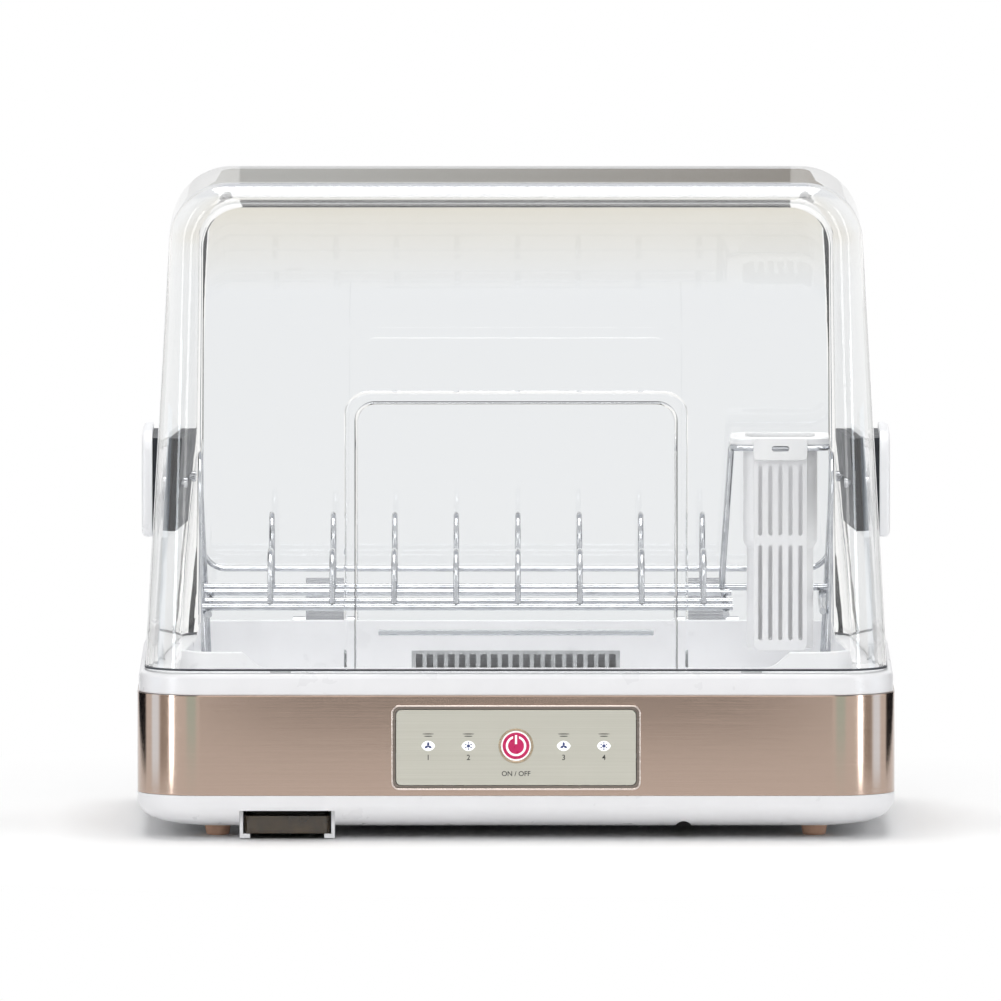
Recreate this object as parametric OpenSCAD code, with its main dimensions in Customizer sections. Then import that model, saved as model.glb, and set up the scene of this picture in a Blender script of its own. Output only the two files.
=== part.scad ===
// Countertop dish dryer: a low base with a brushed steel band and a clear lid
// that flips up over a wire rack. Millimetres, +Z up, the front faces -Y.
// The origin is on the ground, in the middle of the base.

/* [Base] */
// Width of the base
base_w = 430; // [400:1:480]
// Depth of the base
base_d = 298; // [280:1:340]
// Corner radius of the base, seen from above
base_r = 36; // [28:1:44]
// Height of the feet
foot_h = 6; // [4:0.5:10]
// Diameter of a foot
foot_d = 15; // [10:0.5:18]
// Distance from the base side to the foot centre
foot_inset_x = 45.5; // [45:0.5:60]
// Distance from the base front and rear to the foot centre
foot_inset_y = 47; // [46:0.5:60]
// Height of the bottom case
case_h = 19.6; // [18:0.2:26]
// Height of the upright skirt of the bottom case
case_skirt_h = 4; // [2:0.5:6]
// How far the underside draws in from the skirt
case_taper = 36; // [30:1:38]
// How far the knee of the underside draws in
case_knee = 8; // [6:1:20]
// Height of the knee above the underside
case_knee_z = 5.2; // [3:0.2:8]
// Wall of the bottom case
case_wall = 2.5; // [2:0.1:3.5]
// Height of the steel band
band_h = 57; // [54:0.5:70]
// Sheet thickness of the steel band
band_t = 1.2; // [0.8:0.1:2]

/* [Deck and pan] */
// Height of the white rim above the band
rim_h = 12.8; // [10:0.2:18]
// How far the rim stands back from the band
rim_setback = 0.8; // [0.4:0.1:1]
// Wall of the rim and of the deck plate
rim_wall = 3; // [2.5:0.1:4]
// Distance from the base side to the pan
pan_side = 23; // [21:0.5:27]
// Distance from the base front to the pan
pan_front = 17; // [15:0.5:22]
// Distance from the base rear to the pan
pan_rear = 37; // [34:0.5:44]
// Corner radius of the pan
pan_r = 26; // [16:1:36]
// Wall of the pan
pan_wall = 3; // [2:0.1:4]
// Depth of the pan floor below the rim
pan_depth = 25.4; // [22:0.2:28]
// Height of the pan wall above the rim
coaming_h = 10.6; // [6:0.2:14]
// Distance from the pan side to the low front of its wall
dip_inset = 47; // [37:1:72]
// Run of the sloped ends of the low front
dip_slope = 12; // [6:0.5:20]
// Height of the low front above the rim
dip_h = 1.6; // [1:0.2:4]
// Bore of the drain
drain_d = 12; // [8:0.5:14]

/* [Lid] */
// Height of the lid
lid_h = 275.8; // [240:0.2:300]
// Wall of the clear lid
lid_wall = 2.8; // [2:0.1:3.4]
// Distance from the base side to the lid foot
lid_inset_side = 4.5; // [3:0.5:6]
// Distance from the base front to the lid foot
lid_inset_front = 3; // [2.6:0.1:5]
// Distance from the base rear to the lid foot
lid_inset_rear = 11; // [10:0.5:12]
// Clearance under the lid
lid_gap = 0.8; // [0.4:0.1:1.5]
// Lean of the lid's front and side walls in degrees
lid_draft = 3.2; // [1:0.1:4]
// Corner radius at the foot of the lid
lid_foot_r = 29.5; // [20:0.5:34]
// Radius of the lid's shoulders, seen from the front
lid_shoulder_r = 34; // [26:1:44]
// Fillet along the front edge of the lid
lid_fillet = 11; // [7:0.5:16]
// Radius of the rear of the lid, seen from the side
lid_rear_arc = 100; // [60:2:120]
// Width of the raised panel on the lid front
emboss_w = 195; // [170:1:240]
// Height of the raised panel
emboss_h = 159; // [120:1:190]
// Corner radius of the raised panel
emboss_r = 14; // [8:1:24]
// How far the raised panel stands out
emboss_step = 1.6; // [0.8:0.1:2]
// Width of the finger ledge
ledge_w = 156; // [100:1:160]
// Thickness of the finger ledge
ledge_t = 3; // [2:0.2:5]
// Height of the finger ledge above the lid foot
ledge_z = 22; // [14:0.5:40]
// Reach of the finger ledge from the raised panel
ledge_reach = 3.4; // [2:0.1:3.6]

/* [Side grips] */
// Height of a grip pad
grip_h = 61; // [50:1:80]
// Length of a grip pad, front to rear
grip_l = 90; // [60:1:110]
// Thickness of a grip pad
grip_t = 6; // [5:0.2:6.6]
// Height of the grip's lower edge above the lid foot
grip_z = 69; // [50:1:100]
// Place of the grips, front to rear
grip_y = -10; // [-30:1:30]
// Least thickness of the dark spacer behind a grip
grip_spacer_t = 0.5; // [0.4:0.1:1]
// Thickness of the backing plate inside the lid
grip_backing_t = 4; // [2:0.2:6]
// Distance between the two screws of a grip
grip_screw_pitch = 50; // [36:1:54]

/* [Hinges] */
// Distance of each hinge from the middle
hinge_x = 110; // [70:1:140]
// Height of the hinge axis above the rim
hinge_z = 6.2; // [5.8:0.1:8]
// Distance of the hinge axis behind the lid wall
hinge_back = 6; // [5.6:0.1:6.4]
// Radius of the hinge knuckles
knuckle_r = 4; // [3.4:0.1:4.2]
// Length of the lid's knuckle
knuckle_l = 22; // [16:1:30]
// Length of each knuckle on the base
ear_l = 7; // [5:0.5:10]
// Diameter of the hinge pin
pin_d = 3.2; // [2.6:0.1:3.6]
// Height of the leaf on the lid
leaf_h = 30; // [24:1:44]
// Thickness of the hinge sheet
leaf_t = 2; // [1.6:0.1:2.4]

/* [Control panel] */
// Width of the panel with its bezel
panel_w = 141.5; // [120:0.5:180]
// Height of the panel with its bezel
panel_h = 48.3; // [44:0.1:52]
// Corner radius of the panel
panel_r = 4.5; // [4:0.5:8]
// Width of the bright bezel
bezel_w = 2.3; // [2:0.1:3]
// How far the bezel stands out from the band
bezel_proud = 1; // [0.8:0.1:1.4]
// How far the face plate lies behind the bezel
face_recess = 0.4; // [0.2:0.1:0.6]
// Thickness of the face plate
face_t = 2.6; // [2.2:0.1:3.2]
// Diameter of the power button
button_d = 15.2; // [12:0.2:16]
// Width of the light ring round the button
light_w = 0.8; // [0.6:0.1:1.2]
// Width of the metal ring round the light
ring_w = 1.4; // [1:0.1:2]
// Travel of the power button
button_travel = 1.2; // [0.8:0.1:1.6]
// Height of the button above the middle of the panel
button_rise = 1; // [0:0.5:3]
// Distance from the middle to the inner indicators
lamp_near = 27; // [20:0.5:34]
// Distance from the middle to the outer indicators
lamp_far = 49.8; // [42:0.2:58]
// Width of an indicator window
lamp_w = 7.3; // [6:0.1:9]
// Height of an indicator window
lamp_h = 5.5; // [4:0.1:6]
// Distance from the face plate to the control board
board_back = 9; // [8:0.5:11]

/* [Drip tray] */
// Distance from the base side to the middle of the drip tray slot
slot_inset = 85.2; // [81:0.2:105]
// Width of the slot
slot_w = 54; // [44:1:56]
// Height of the slot's roof above the ground
slot_top = 17; // [16:0.5:20]
// Length of the slot
slot_l = 125; // [100:1:130]
// Height of the rails above the ground
rail_z = 2; // [1:0.5:3]
// Wall of the rails
rail_t = 2; // [1.6:0.1:2.6]
// Width of the lip that carries the tray
lip_w = 4; // [3:0.5:8]
// How far the rails start behind the base front
rail_setback = 11; // [8:0.5:16]
// Wall of the drip tray
tray_wall = 1.6; // [1.2:0.1:2.4]
// Height of the drip tray
tray_h = 10; // [7:0.5:11]
// Length of the drip tray
tray_l = 108; // [80:1:110]

/* [Rack] */
// Distance from the pan wall to the middle of the rack's feet
rack_inset = 12.5; // [9:0.5:17]
// Lean of the end loops in degrees
rack_splay = 2.8; // [0:0.1:3]
// Height of the end loops
loop_h = 142; // [130:1:160]
// Place of the front legs
leg_front = -70; // [-76:1:-64]
// Place of the rear legs
leg_rear = 85; // [80:1:88]
// Bend radius of the end loops
loop_bend = 24; // [14:1:30]
// Wire of the end loops
loop_wire = 5; // [4:0.2:6]
// Wire of the rails
rail_wire = 4; // [3:0.2:5]
// Wire of the dividers and the hanger
fine_wire = 3.2; // [2.4:0.2:4]
// Height of the end bars above the pan floor
end_bar_z = 55; // [46:1:64]
// Place of the hindmost rail
rail_4 = 55; // [50:1:57]
// Place of the rail before it
rail_3 = 15; // [11:1:20]
// Place of the second rail
rail_2 = -53; // [-56:1:-50]
// Place of the foremost rail
rail_1 = -97; // [-100:1:-94]
// Number of dividers in a row
divider_n = 8; // [4:1:8]
// Distance from the left feet to the first divider
divider_start = 36.8; // [30:0.1:44]
// Distance from the last divider to the caddy's hanger
divider_end = 16.6; // [14:0.1:26]
// Height of the rear dividers
divider_rear_h = 41; // [30:1:60]
// Height of the front dividers
divider_front_h = 28; // [24:1:44]
// Bend radius of the divider tops
divider_bend = 15; // [8:1:17]
// Height of the plate stop above the pan floor
stop_z = 67; // [66:1:90]
// Bend radius of the plate stop
stop_bend = 14; // [10:1:20]
// Length of a rubber foot on the rack
cap_h = 9; // [6:0.5:12]
// Wall of a rubber foot on the rack
cap_wall = 1.6; // [1:0.1:2.4]

/* [Utensil caddy] */
// Width of the caddy
caddy_w = 38; // [30:0.5:39]
// Depth of the caddy
caddy_d = 34; // [26:0.5:34]
// Height of the caddy under its flange
caddy_h = 118; // [90:1:130]
// Wall of the caddy
caddy_wall = 2; // [1.4:0.1:2.6]
// Thickness of the caddy's flange
flange_t = 4.4; // [2:0.2:5]
// How far the flange reaches past the hanger
flange_lap = 0.9; // [0.6:0.1:1]
// Width of the hanger ring, wire to wire
hanger_w = 56; // [52:0.5:57]
// Width of a slot in the caddy
caddy_slot_w = 2.4; // [1.8:0.1:3]
// Number of slots side by side
caddy_slot_n = 5; // [3:1:5]
// How far the upper half of the caddy stands out from the lower half
caddy_step = 2.2; // [1:0.1:2.6]
// Width of the tongue on the front of the caddy
tongue_w = 31; // [26:0.5:34]
// How far the tongue stands out from the upper half
tongue_t = 1.6; // [1:0.1:2]

/* [Blower and heater] */
// Outer radius of the blower housing
blower_r = 52; // [46:1:54]
// Place of the blower, front to rear
blower_y = 33; // [20:1:34]
// Height of the blower housing above the case floor
blower_rise = 15.5; // [12:0.5:17]
// Height of the blower chamber
blower_h = 30; // [24:0.5:30]
// Wall of the blower and the ducts
duct_wall = 2; // [1.6:0.1:2.6]
// Radius of the fan wheel
wheel_r = 42; // [34:1:42]
// Height of the fan wheel
wheel_h = 22; // [16:0.5:23]
// Number of fan blades
blade_n = 24; // [12:1:30]
// Diameter of the fan shaft
shaft_d = 4; // [3:0.2:5]
// Radius of the fan motor
motor_r = 18; // [14:1:22]
// Height of the fan motor
motor_h = 9; // [6:0.5:9.4]
// Width of the warm air outlet
outlet_w = 120; // [90:1:140]
// Height of the warm air outlet
outlet_h = 14; // [10:0.5:15]
// Depth of the rising duct behind the pan
riser_d = 30; // [24:0.5:30]

/* [Fasteners and clearances] */
// Diameter of the case screws
case_screw_d = 4; // [3:0.2:5]
// Diameter of the small screws
small_screw_d = 3; // [2:0.2:3.4]
// Clearance between pieces that don't move
seat = 0.1; // [0.05:0.01:0.2]
// Radial clearance of a running fit
run = 0.05; // [0.02:0.01:0.1]
// Clearance beside pieces that slide or lift
slide = 0.4; // [0.3:0.05:0.6]

/* [Hidden] */
$fn = 64;

white = [0.92, 0.93, 0.94];
bronze = [0.62, 0.54, 0.48];
chrome = [0.75, 0.76, 0.78];
clear = [0.85, 0.9, 0.92, 0.35];
dark = [0.2, 0.22, 0.25];
eps = 0.01;
over = 1;
smooth = 32;

// Heights of the base, from the ground up
case_top = foot_h + case_h;
case_floor = foot_h + case_wall;
band_top = case_top + band_h;
rim_top = band_top + rim_h;
base_front = -base_d / 2;
base_rear = base_d / 2;

// The pan in the deck
pan_y0 = base_front + pan_front;
pan_y1 = base_rear - pan_rear;
pan_mid = (pan_y0 + pan_y1) / 2;
pan_w = base_w - 2 * pan_side;
dip_w = pan_w - 2 * dip_inset;
pan_d = pan_y1 - pan_y0;
pan_floor = rim_top - pan_depth;
pan_under = pan_floor - rim_wall;
coaming_top = rim_top + coaming_h;
deck_under = rim_top - rim_wall;
drain_y = base_front + pan_front + pan_wall + drain_d * 2;

// The lid's walls
lid_foot = rim_top + lid_gap;
lid_top = lid_foot + lid_h;
lid_half = base_w / 2 - lid_inset_side;
lid_y0 = base_front + lid_inset_front;
lid_y1 = base_rear - lid_inset_rear;
shoulder_z = lid_top - lid_shoulder_r;
fillet_ring = lid_shoulder_r - lid_fillet;
fillet_y = lid_y0 + tan(lid_draft) * (shoulder_z + fillet_ring - lid_foot) + lid_fillet / cos(lid_draft);
rear_arc_y = lid_y1 - lid_rear_arc;
rear_arc_z = lid_top - lid_rear_arc;
rear_arc_steps = 8;
function lid_side(z) = lid_half - tan(lid_draft) * (z - lid_foot);
function shoulder_x(z) = lid_side(z) - lid_shoulder_r / cos(lid_draft);

// The side grips
grip_low = lid_foot + grip_z;
grip_in = lid_side(grip_low) + grip_spacer_t;
grip_mid = grip_low + grip_h / 2;
grip_margin = 4;
head_ratio = 0.6;
screw_head_r = small_screw_d;
screw_head_h = small_screw_d * head_ratio;

// The hinges
axis_y = lid_y1 + hinge_back;
axis_z = rim_top + hinge_z;
bracket_w = knuckle_l + 2 * (ear_l + slide);
bracket_t = leaf_t * 0.7;
bracket_back = base_rear + bezel_proud;
bracket_drop = rim_h * 0.7;
leaf_low = lid_foot + leaf_t;

// The control panel
face_front = base_front - bezel_proud + face_recess;
face_rear = face_front + face_t;
window_w = panel_w - 2 * bezel_w;
window_h = panel_h - 2 * bezel_w;
window_r = panel_r - bezel_w / 2;
panel_drop = 1;
panel_z = case_top + band_h / 2 - panel_drop;
button_z = panel_z + button_rise;
light_r = button_d / 2 + run + light_w;
ring_r = light_r + seat + ring_w;
button_front = face_front - face_recess / 2;
button_flange = 1;
stem_r = button_d / 6;
board_y = face_rear + board_back;
board_t = 1.6;
board_w = panel_w - 8 * bezel_w;
board_h = panel_h - 5 * bezel_w;
switch_h = 4.5;
switch_front = board_y - switch_h;
stem_end = switch_front - button_travel - seat;
lamp_places = [-lamp_far, -lamp_near, lamp_near, lamp_far];

// The drip tray and its slot
slot_x = slot_inset - base_w / 2;
slot_rear = base_front + slot_l;
rail_front_y = base_front + rail_setback;
tray_w = slot_w - 2 * (rail_t + slide);
lip_t = rail_t * 0.6;
tray_z = rail_z + lip_t + seat;
tray_front = rail_front_y + over;

// The rack
rack_foot_x = pan_w / 2 - pan_wall - rack_inset;
rack_floor = pan_floor + seat;
rail_r = rail_wire / 2;
loop_r = loop_wire / 2;
fine_r = fine_wire / 2;
function leg_x(z) = rack_foot_x + tan(rack_splay) * (z - rack_floor);
bar_z = rack_floor + end_bar_z;
bar_x = leg_x(bar_z) - (loop_r + rail_r) / cos(rack_splay);
rails_z = bar_z + 2 * rail_r;
rail_half = bar_x + rail_wire;
loop_top = rack_floor + loop_h * cos(rack_splay);
loop_top_x = leg_x(loop_top);
leg_span = leg_rear - leg_front;
leg_mid = (leg_rear + leg_front) / 2;
rear_mid = (rail_3 + rail_4) / 2;
front_mid = (rail_1 + rail_2) / 2;
stop_y = leg_rear + loop_r + fine_r;
stop_level = rack_floor + stop_z;

// The caddy in its hanger, and the dividers up to it
hanger_right = loop_top_x - loop_r - fine_r;
hanger_left = hanger_right - hanger_w;
rail_end = hanger_left;
hanger_span = rail_4 - rail_3 + 2 * rail_wire;
hanger_bend = 8;
hanger_leg_lean = 4;
divider_x0 = divider_start - rack_foot_x;
divider_pitch = (hanger_left - divider_end - divider_x0) / (divider_n - 1);
caddy_x = (hanger_left + hanger_right) / 2;
caddy_top = loop_top + fine_r + seat + flange_t;
caddy_low = caddy_top - flange_t - caddy_h;
caddy_waist = caddy_low + caddy_h * 0.52;
flange_w = hanger_w + 2 * flange_lap - slide;
flange_d = hanger_span + 2 * flange_lap - slide;
caddy_slot_margin = 1.6;
caddy_slot_pitch = caddy_w / (caddy_slot_n + caddy_slot_margin);
caddy_rib = 5;

// The blower, heater and ducts
blower_z = case_floor + blower_rise;
blower_top = blower_z + blower_h;
nozzle_w = blower_r - duct_wall;
nozzle_x = nozzle_w / 2 + duct_wall;
nozzle_end = blower_y + blower_r + duct_wall;
wheel_z = blower_z + (blower_h - wheel_h) / 2;
blade_l = wheel_r / 4;
blade_t = 1.2;
hub_r = shaft_d * 1.5;
outlet_z = deck_under - outlet_h - 2 * duct_wall;
gland_inset = 40;
gland_x = base_w / 2 - base_r - gland_inset;
gland_z = case_top + band_h / 4;
gland_bore = 6.6;
gland_r = 8;

// The screws that hold the case to the deck
boss_inset_x = 22;
boss_inset_front = 47;
boss_inset_rear = 32;
boss_rise = 4;
boss_r = 4.5;
boss_x = pan_w / 2 - boss_inset_x;
boss_y = [pan_y0 + boss_inset_front, pan_y1 - boss_inset_rear];
boss_joint = case_top + boss_rise;
boss_bore = case_screw_d * 5;

// The power board in the right half of the case
power_board_w = 84;
power_board_d = 104;
power_board_inset = 122;
power_board_back = 84;
power_board_rise = 7.5;
power_board_x = base_w / 2 - power_board_inset;
power_board_y = base_front + power_board_back;
power_board_z = case_floor + power_board_rise;
power_board_top = power_board_z + board_t;
post_inset = 6;

// An upright rounded rectangle, of exact arcs
module plan(w, d, r) {
    square([w - 2 * r, d], center = true);
    square([w, d - 2 * r], center = true);
    for (x = [-1, 1], y = [-1, 1])
        translate([x * (w / 2 - r), y * (d / 2 - r)])
            circle(r);
}

// A slab with rounded corners, from z0 to z1
module slab(w, d, r, z0, z1) {
    translate([0, 0, z0])
        linear_extrude(z1 - z0)
            plan(w, d, r);
}

// A shape drawn on the front, standing from y0 back to y1
module on_front(y0, y1) {
    translate([0, y1, 0])
        rotate([90, 0, 0])
            linear_extrude(y1 - y0)
                children();
}

// A round bar along Y
module bar_y(r, y0, y1) {
    translate([0, y0, 0])
        rotate([-90, 0, 0])
            cylinder(r = r, h = y1 - y0);
}

// A round bar along X, centred
module bar_x_centred(r, l) {
    rotate([0, 90, 0])
        cylinder(r = r, h = l, center = true);
}

// A quarter bend from +Y to +Z about the origin
module bend_yz(bend, r) {
    rotate([90, 0, 90])
        rotate_extrude(angle = 90)
            translate([bend, 0])
                circle(r);
}

// A bent wire arch that stands on its two legs, in the YZ plane
module arch(span, height, bend, r) {
    for (side = [0, 1])
        mirror([0, side, 0]) {
            translate([0, span / 2, 0])
                cylinder(r = r, h = height - bend);
            translate([0, span / 2 - bend, height - bend])
                bend_yz(bend, r);
        }
    translate([0, 0, height])
        bar_y(r, bend - span / 2, span / 2 - bend);
}

// A thin slice of the bottom case, drawn in from the skirt
module case_step(inset, z) {
    slab(base_w - 2 * inset, base_d - 2 * inset, base_r - inset / 2, z, z + eps);
}

// The bottom case, solid, drawn in by t on every wall
module case_form(t) {
    top = case_top + (t > 0 ? over : 0);
    hull() {
        slab(base_w - 2 * t, base_d - 2 * t, base_r - t, case_top - case_skirt_h, top);
        case_step(t + case_knee, foot_h + case_knee_z + t);
        case_step(t + case_taper, foot_h + t);
    }
}

// The way of the drip tray through the case
module drip_slot(grow, front) {
    translate([slot_x - slot_w / 2 - grow, base_front - front, 0])
        cube([slot_w + 2 * grow, slot_l + front + grow, slot_top + grow]);
}

module at_bosses() {
    for (x = [-boss_x, boss_x], y = boss_y)
        translate([x, y, 0])
            children();
}

module at_board_posts() {
    for (x = [-1, 1], y = [-1, 1])
        translate([power_board_x + x * (power_board_w / 2 - post_inset),
            power_board_y + y * (power_board_d / 2 - post_inset), 0])
            children();
}

// White moulded tub that closes the base from below
module bottom_case() {
    vent_n = 7;
    vent_pitch = 8;
    vent_w = 3;
    notch_x = 95;
    notch_r = 4.5;
    color(white)
    difference() {
        union() {
            difference() {
                case_form(0);
                difference() {
                    case_form(case_wall);
                    drip_slot(case_wall, 0);
                }
            }
            at_bosses()
                translate([0, 0, case_floor - eps])
                    cylinder(r = boss_r, h = boss_joint - case_floor + eps);
            at_board_posts()
                translate([0, 0, case_floor - eps])
                    cylinder(r = small_screw_d, h = power_board_z - case_floor + eps);
        }
        drip_slot(0, over);
        translate([slot_x, drain_y, 0])
            cylinder(d = drain_d + 2 * seat + 2 * tray_wall, h = case_top);
        at_bosses() {
            cylinder(d = case_screw_d + 4 * seat, h = case_top + band_h / 2);
            cylinder(d = 2 * case_screw_d, h = case_floor + case_wall);
        }
        for (i = [0 : vent_n - 1])
            translate([(i - (vent_n - 1) / 2) * vent_pitch, blower_y, foot_h])
                cube([vent_w, blower_r, 4 * case_wall], center = true);
        translate([notch_x, 0, foot_h])
            bar_y(notch_r, base_front - over, base_front + case_taper + over);
    }
}

// Four pale feet under the corners
module feet() {
    color([0.72, 0.55, 0.45])
    for (x = [-1, 1], y = [-1, 1])
        translate([x * (base_w / 2 - foot_inset_x), y * (base_d / 2 - foot_inset_y), 0])
            cylinder(d1 = foot_d * 0.85, d2 = foot_d, h = foot_h);
}

// Two L-shaped rails that carry the drip tray
module drip_rails() {
    color(white)
    for (side = [-1, 1])
        translate([slot_x, 0, 0])
            mirror([side < 0 ? 1 : 0, 0, 0]) {
                translate([slot_w / 2 - rail_t, rail_front_y, rail_z])
                    cube([rail_t, slot_rear - rail_front_y, slot_top - rail_z]);
                translate([slot_w / 2 - rail_t - lip_w, rail_front_y, rail_z])
                    cube([lip_w, slot_rear - rail_front_y, lip_t]);
            }
}

// Brushed steel band of flat walls butted to four bent corners, with a window for the panel
module steel_band() {
    seam = 2 * eps;
    color(bronze)
    difference() {
        slab(base_w, base_d, base_r, case_top, band_top);
        slab(base_w - 2 * band_t, base_d - 2 * band_t, base_r - band_t, case_top - over, band_top + over);
        on_front(base_front - over, base_front + 2 * band_t)
            translate([0, panel_z])
                plan(window_w + 2 * seat, window_h + 2 * seat, window_r);
        translate([gland_x, 0, gland_z])
            bar_y(gland_r - over, base_rear - 2 * band_t, base_rear + over);
        for (x = [-1, 1])
            translate([x * (base_w / 2 - base_r), 0, case_top + band_h / 2])
                cube([seam, base_d + 2 * over, band_h + 2 * over], center = true);
        for (y = [-1, 1])
            translate([0, y * (base_d / 2 - base_r), case_top + band_h / 2])
                cube([base_w + 2 * over, seam, band_h + 2 * over], center = true);
    }
}

// White rim that caps the steel band, with an opening for the pan
module deck_rim() {
    rim_w = base_w - 2 * rim_setback;
    rim_d = base_d - 2 * rim_setback;
    color(white)
    difference() {
        slab(rim_w, rim_d, base_r - rim_setback, band_top, rim_top);
        slab(rim_w - 2 * rim_wall, rim_d - 2 * rim_wall, base_r - rim_setback - rim_wall,
            band_top - over, deck_under);
        translate([0, pan_mid, 0])
            slab(pan_w + 2 * seat, pan_d + 2 * seat, pan_r + seat, band_top, rim_top + over);
    }
}

// White pan that catches the drips: its wall stands up through the rim, and two
// side ledges bear on the rim from below
module draining_pan() {
    ledge_side = pan_side / 4;
    color(white)
    difference() {
        union() {
            translate([0, pan_mid, 0])
                slab(pan_w, pan_d, pan_r, pan_under, coaming_top);
            translate([-pan_w / 2 - ledge_side, pan_y0 + pan_r, deck_under - rim_wall])
                cube([pan_w + 2 * ledge_side, pan_d - 2 * pan_r, rim_wall - eps]);
            at_bosses()
                translate([0, 0, boss_joint])
                    cylinder(r = boss_r, h = pan_under - boss_joint + eps);
        }
        translate([0, pan_mid, 0])
            slab(pan_w - 2 * pan_wall, pan_d - 2 * pan_wall, pan_r - pan_wall, pan_floor, coaming_top + over);
        on_front(pan_y0 - over, pan_y0 + pan_r)
            polygon([[-dip_w / 2, rim_top + dip_h], [dip_w / 2, rim_top + dip_h],
                [dip_w / 2 + dip_slope, coaming_top + over], [-dip_w / 2 - dip_slope, coaming_top + over]]);
        translate([slot_x, drain_y, pan_under - over])
            cylinder(d = drain_d, h = rim_wall + 2 * over);
        on_front(pan_y1 - 2 * pan_wall, pan_y1 + over)
            translate([-outlet_w / 2, outlet_z])
                square([outlet_w, outlet_h]);
        at_bosses()
            translate([0, 0, boss_joint - over])
                cylinder(d = case_screw_d + 2 * run, h = boss_bore);
    }
}

// Soft pads that the closed lid comes down on
module lid_bumpers() {
    bumper_w = 12;
    bumper_d = 4;
    color([0.75, 0.76, 0.77])
    for (x = [-1, 1])
        translate([x * (emboss_w / 2 + bumper_w * 3) - bumper_w / 2, lid_y0 - seat, rim_top])
            cube([bumper_w, bumper_d, lid_gap - seat]);
}

// Short tube that leads water from the pan down to the drip tray
module drain_spout() {
    spout_r = drain_d / 2 + tray_wall;
    color([0.8, 0.8, 0.8])
    translate([slot_x, drain_y, 0])
        difference() {
            union() {
                translate([0, 0, slot_top])
                    cylinder(r = spout_r, h = pan_under - slot_top);
                translate([0, 0, pan_under - rim_wall])
                    cylinder(r = spout_r + rim_wall, h = rim_wall);
            }
            translate([0, 0, slot_top - over])
                cylinder(d = drain_d, h = pan_under);
        }
}

// A bar with round ends, seen from the front
module stadium(w, h) {
    square([w - h, h], center = true);
    for (side = [-1, 1])
        translate([side * (w - h) / 2, 0])
            circle(d = h);
}

// Champagne face plate with holes for the button and the lamps, and posts for the board
module face_plate() {
    post_r = 2.5;
    color([0.78, 0.76, 0.7]) {
        on_front(face_front, face_rear)
            difference() {
                translate([0, panel_z])
                    plan(window_w, window_h, window_r);
                translate([0, button_z])
                    circle(ring_r + seat);
                for (x = lamp_places)
                    translate([x, button_z])
                        stadium(lamp_w + 2 * seat, lamp_h + 2 * seat);
            }
        for (x = [-1, 1], z = [-1, 1])
            translate([x * (board_w / 2 - 2 * post_r), 0, panel_z + z * (board_h / 2 - 2 * post_r)])
                bar_y(post_r, face_rear - eps, board_y);
    }
}

// Bright bevelled frame round the face plate
module face_bezel() {
    color(chrome)
    on_front(base_front - bezel_proud, base_front)
        translate([0, panel_z])
            difference() {
                plan(panel_w, panel_h, panel_r);
                plan(window_w + 2 * seat, window_h + 2 * seat, window_r);
            }
}

// Metal ring round the light
module button_ring() {
    color(chrome)
    on_front(base_front - bezel_proud, face_rear)
        translate([0, button_z])
            difference() {
                circle(ring_r);
                circle(light_r + seat);
            }
}

// Milky ring that glows round the button
module button_light() {
    color([1, 0.95, 0.97])
    on_front(face_front, face_rear)
        translate([0, button_z])
            difference() {
                circle(light_r);
                circle(button_d / 2 + run);
            }
}

// Oval windows of the four indicators
module indicator_lenses() {
    color([0.97, 0.97, 0.98])
    for (x = lamp_places)
        on_front(face_front - face_recess / 2, face_rear)
            translate([x, button_z])
                stadium(lamp_w, lamp_h);
}

// Lamps on the control board, one behind each window
module indicator_leds() {
    led_r = 1.5;
    color([0.9, 0.95, 1])
    for (x = lamp_places)
        translate([x, 0, button_z])
            bar_y(led_r, face_rear + seat, board_y);
}

// Board on the posts of the face plate
module control_board() {
    color([0.1, 0.4, 0.2])
    translate([-board_w / 2, board_y, panel_z - board_h / 2])
        cube([board_w, board_t, board_h]);
}

// Small switch that the button's stem presses
module tact_switch() {
    switch_w = 6;
    plunger_h = 1;
    color(dark)
    translate([0, 0, button_z]) {
        translate([-switch_w / 2, switch_front + plunger_h, -switch_w / 2])
            cube([switch_w, switch_h - plunger_h, switch_w]);
        bar_y(switch_w / 4, switch_front, switch_front + plunger_h + eps);
    }
}

// Board on four posts of the case
module power_board() {
    color([0.1, 0.4, 0.2])
    translate([power_board_x - power_board_w / 2, power_board_y - power_board_d / 2, power_board_z])
        cube([power_board_w, power_board_d, board_t]);
}

// Transformer block with a coil sunk in its top
module transformer() {
    core_w = 34;
    core_d = 28;
    core_h = 26;
    coil_d = 20;
    coil_sink = 4;
    right = 12;
    back = 22;
    color([0.85, 0.7, 0.2])
    translate([power_board_x + right, power_board_y + back, power_board_top])
        difference() {
            translate([-core_w / 2, -core_d / 2, 0])
                cube([core_w, core_d, core_h]);
            translate([0, 0, core_h - coil_sink])
                cylinder(d = coil_d, h = core_h);
        }
}

// Two capacitors, a relay and a heat sink on the power board
module board_parts() {
    cap_d = 13;
    cap_l = 24;
    cap_left = 20;
    cap_front = 28;
    cap_pitch = 16;
    relay_w = 28;
    relay_d = 13;
    relay_h = 16;
    relay_right = 18;
    relay_front = 35.5;
    sink_w = 10;
    sink_d = 32;
    sink_h = 11;
    sink_left = 25;
    sink_back = 26;
    color(dark)
    translate([power_board_x, power_board_y, power_board_top]) {
        for (side = [-1, 1])
            translate([-cap_left, side * cap_pitch / 2 - cap_front, 0])
                cylinder(d = cap_d, h = cap_l);
        translate([relay_right - relay_w / 2, -relay_front - relay_d / 2, 0])
            cube([relay_w, relay_d, relay_h]);
        translate([-sink_left - sink_w / 2, sink_back - sink_d / 2, 0])
            cube([sink_w, sink_d, sink_h]);
    }
}

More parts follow.
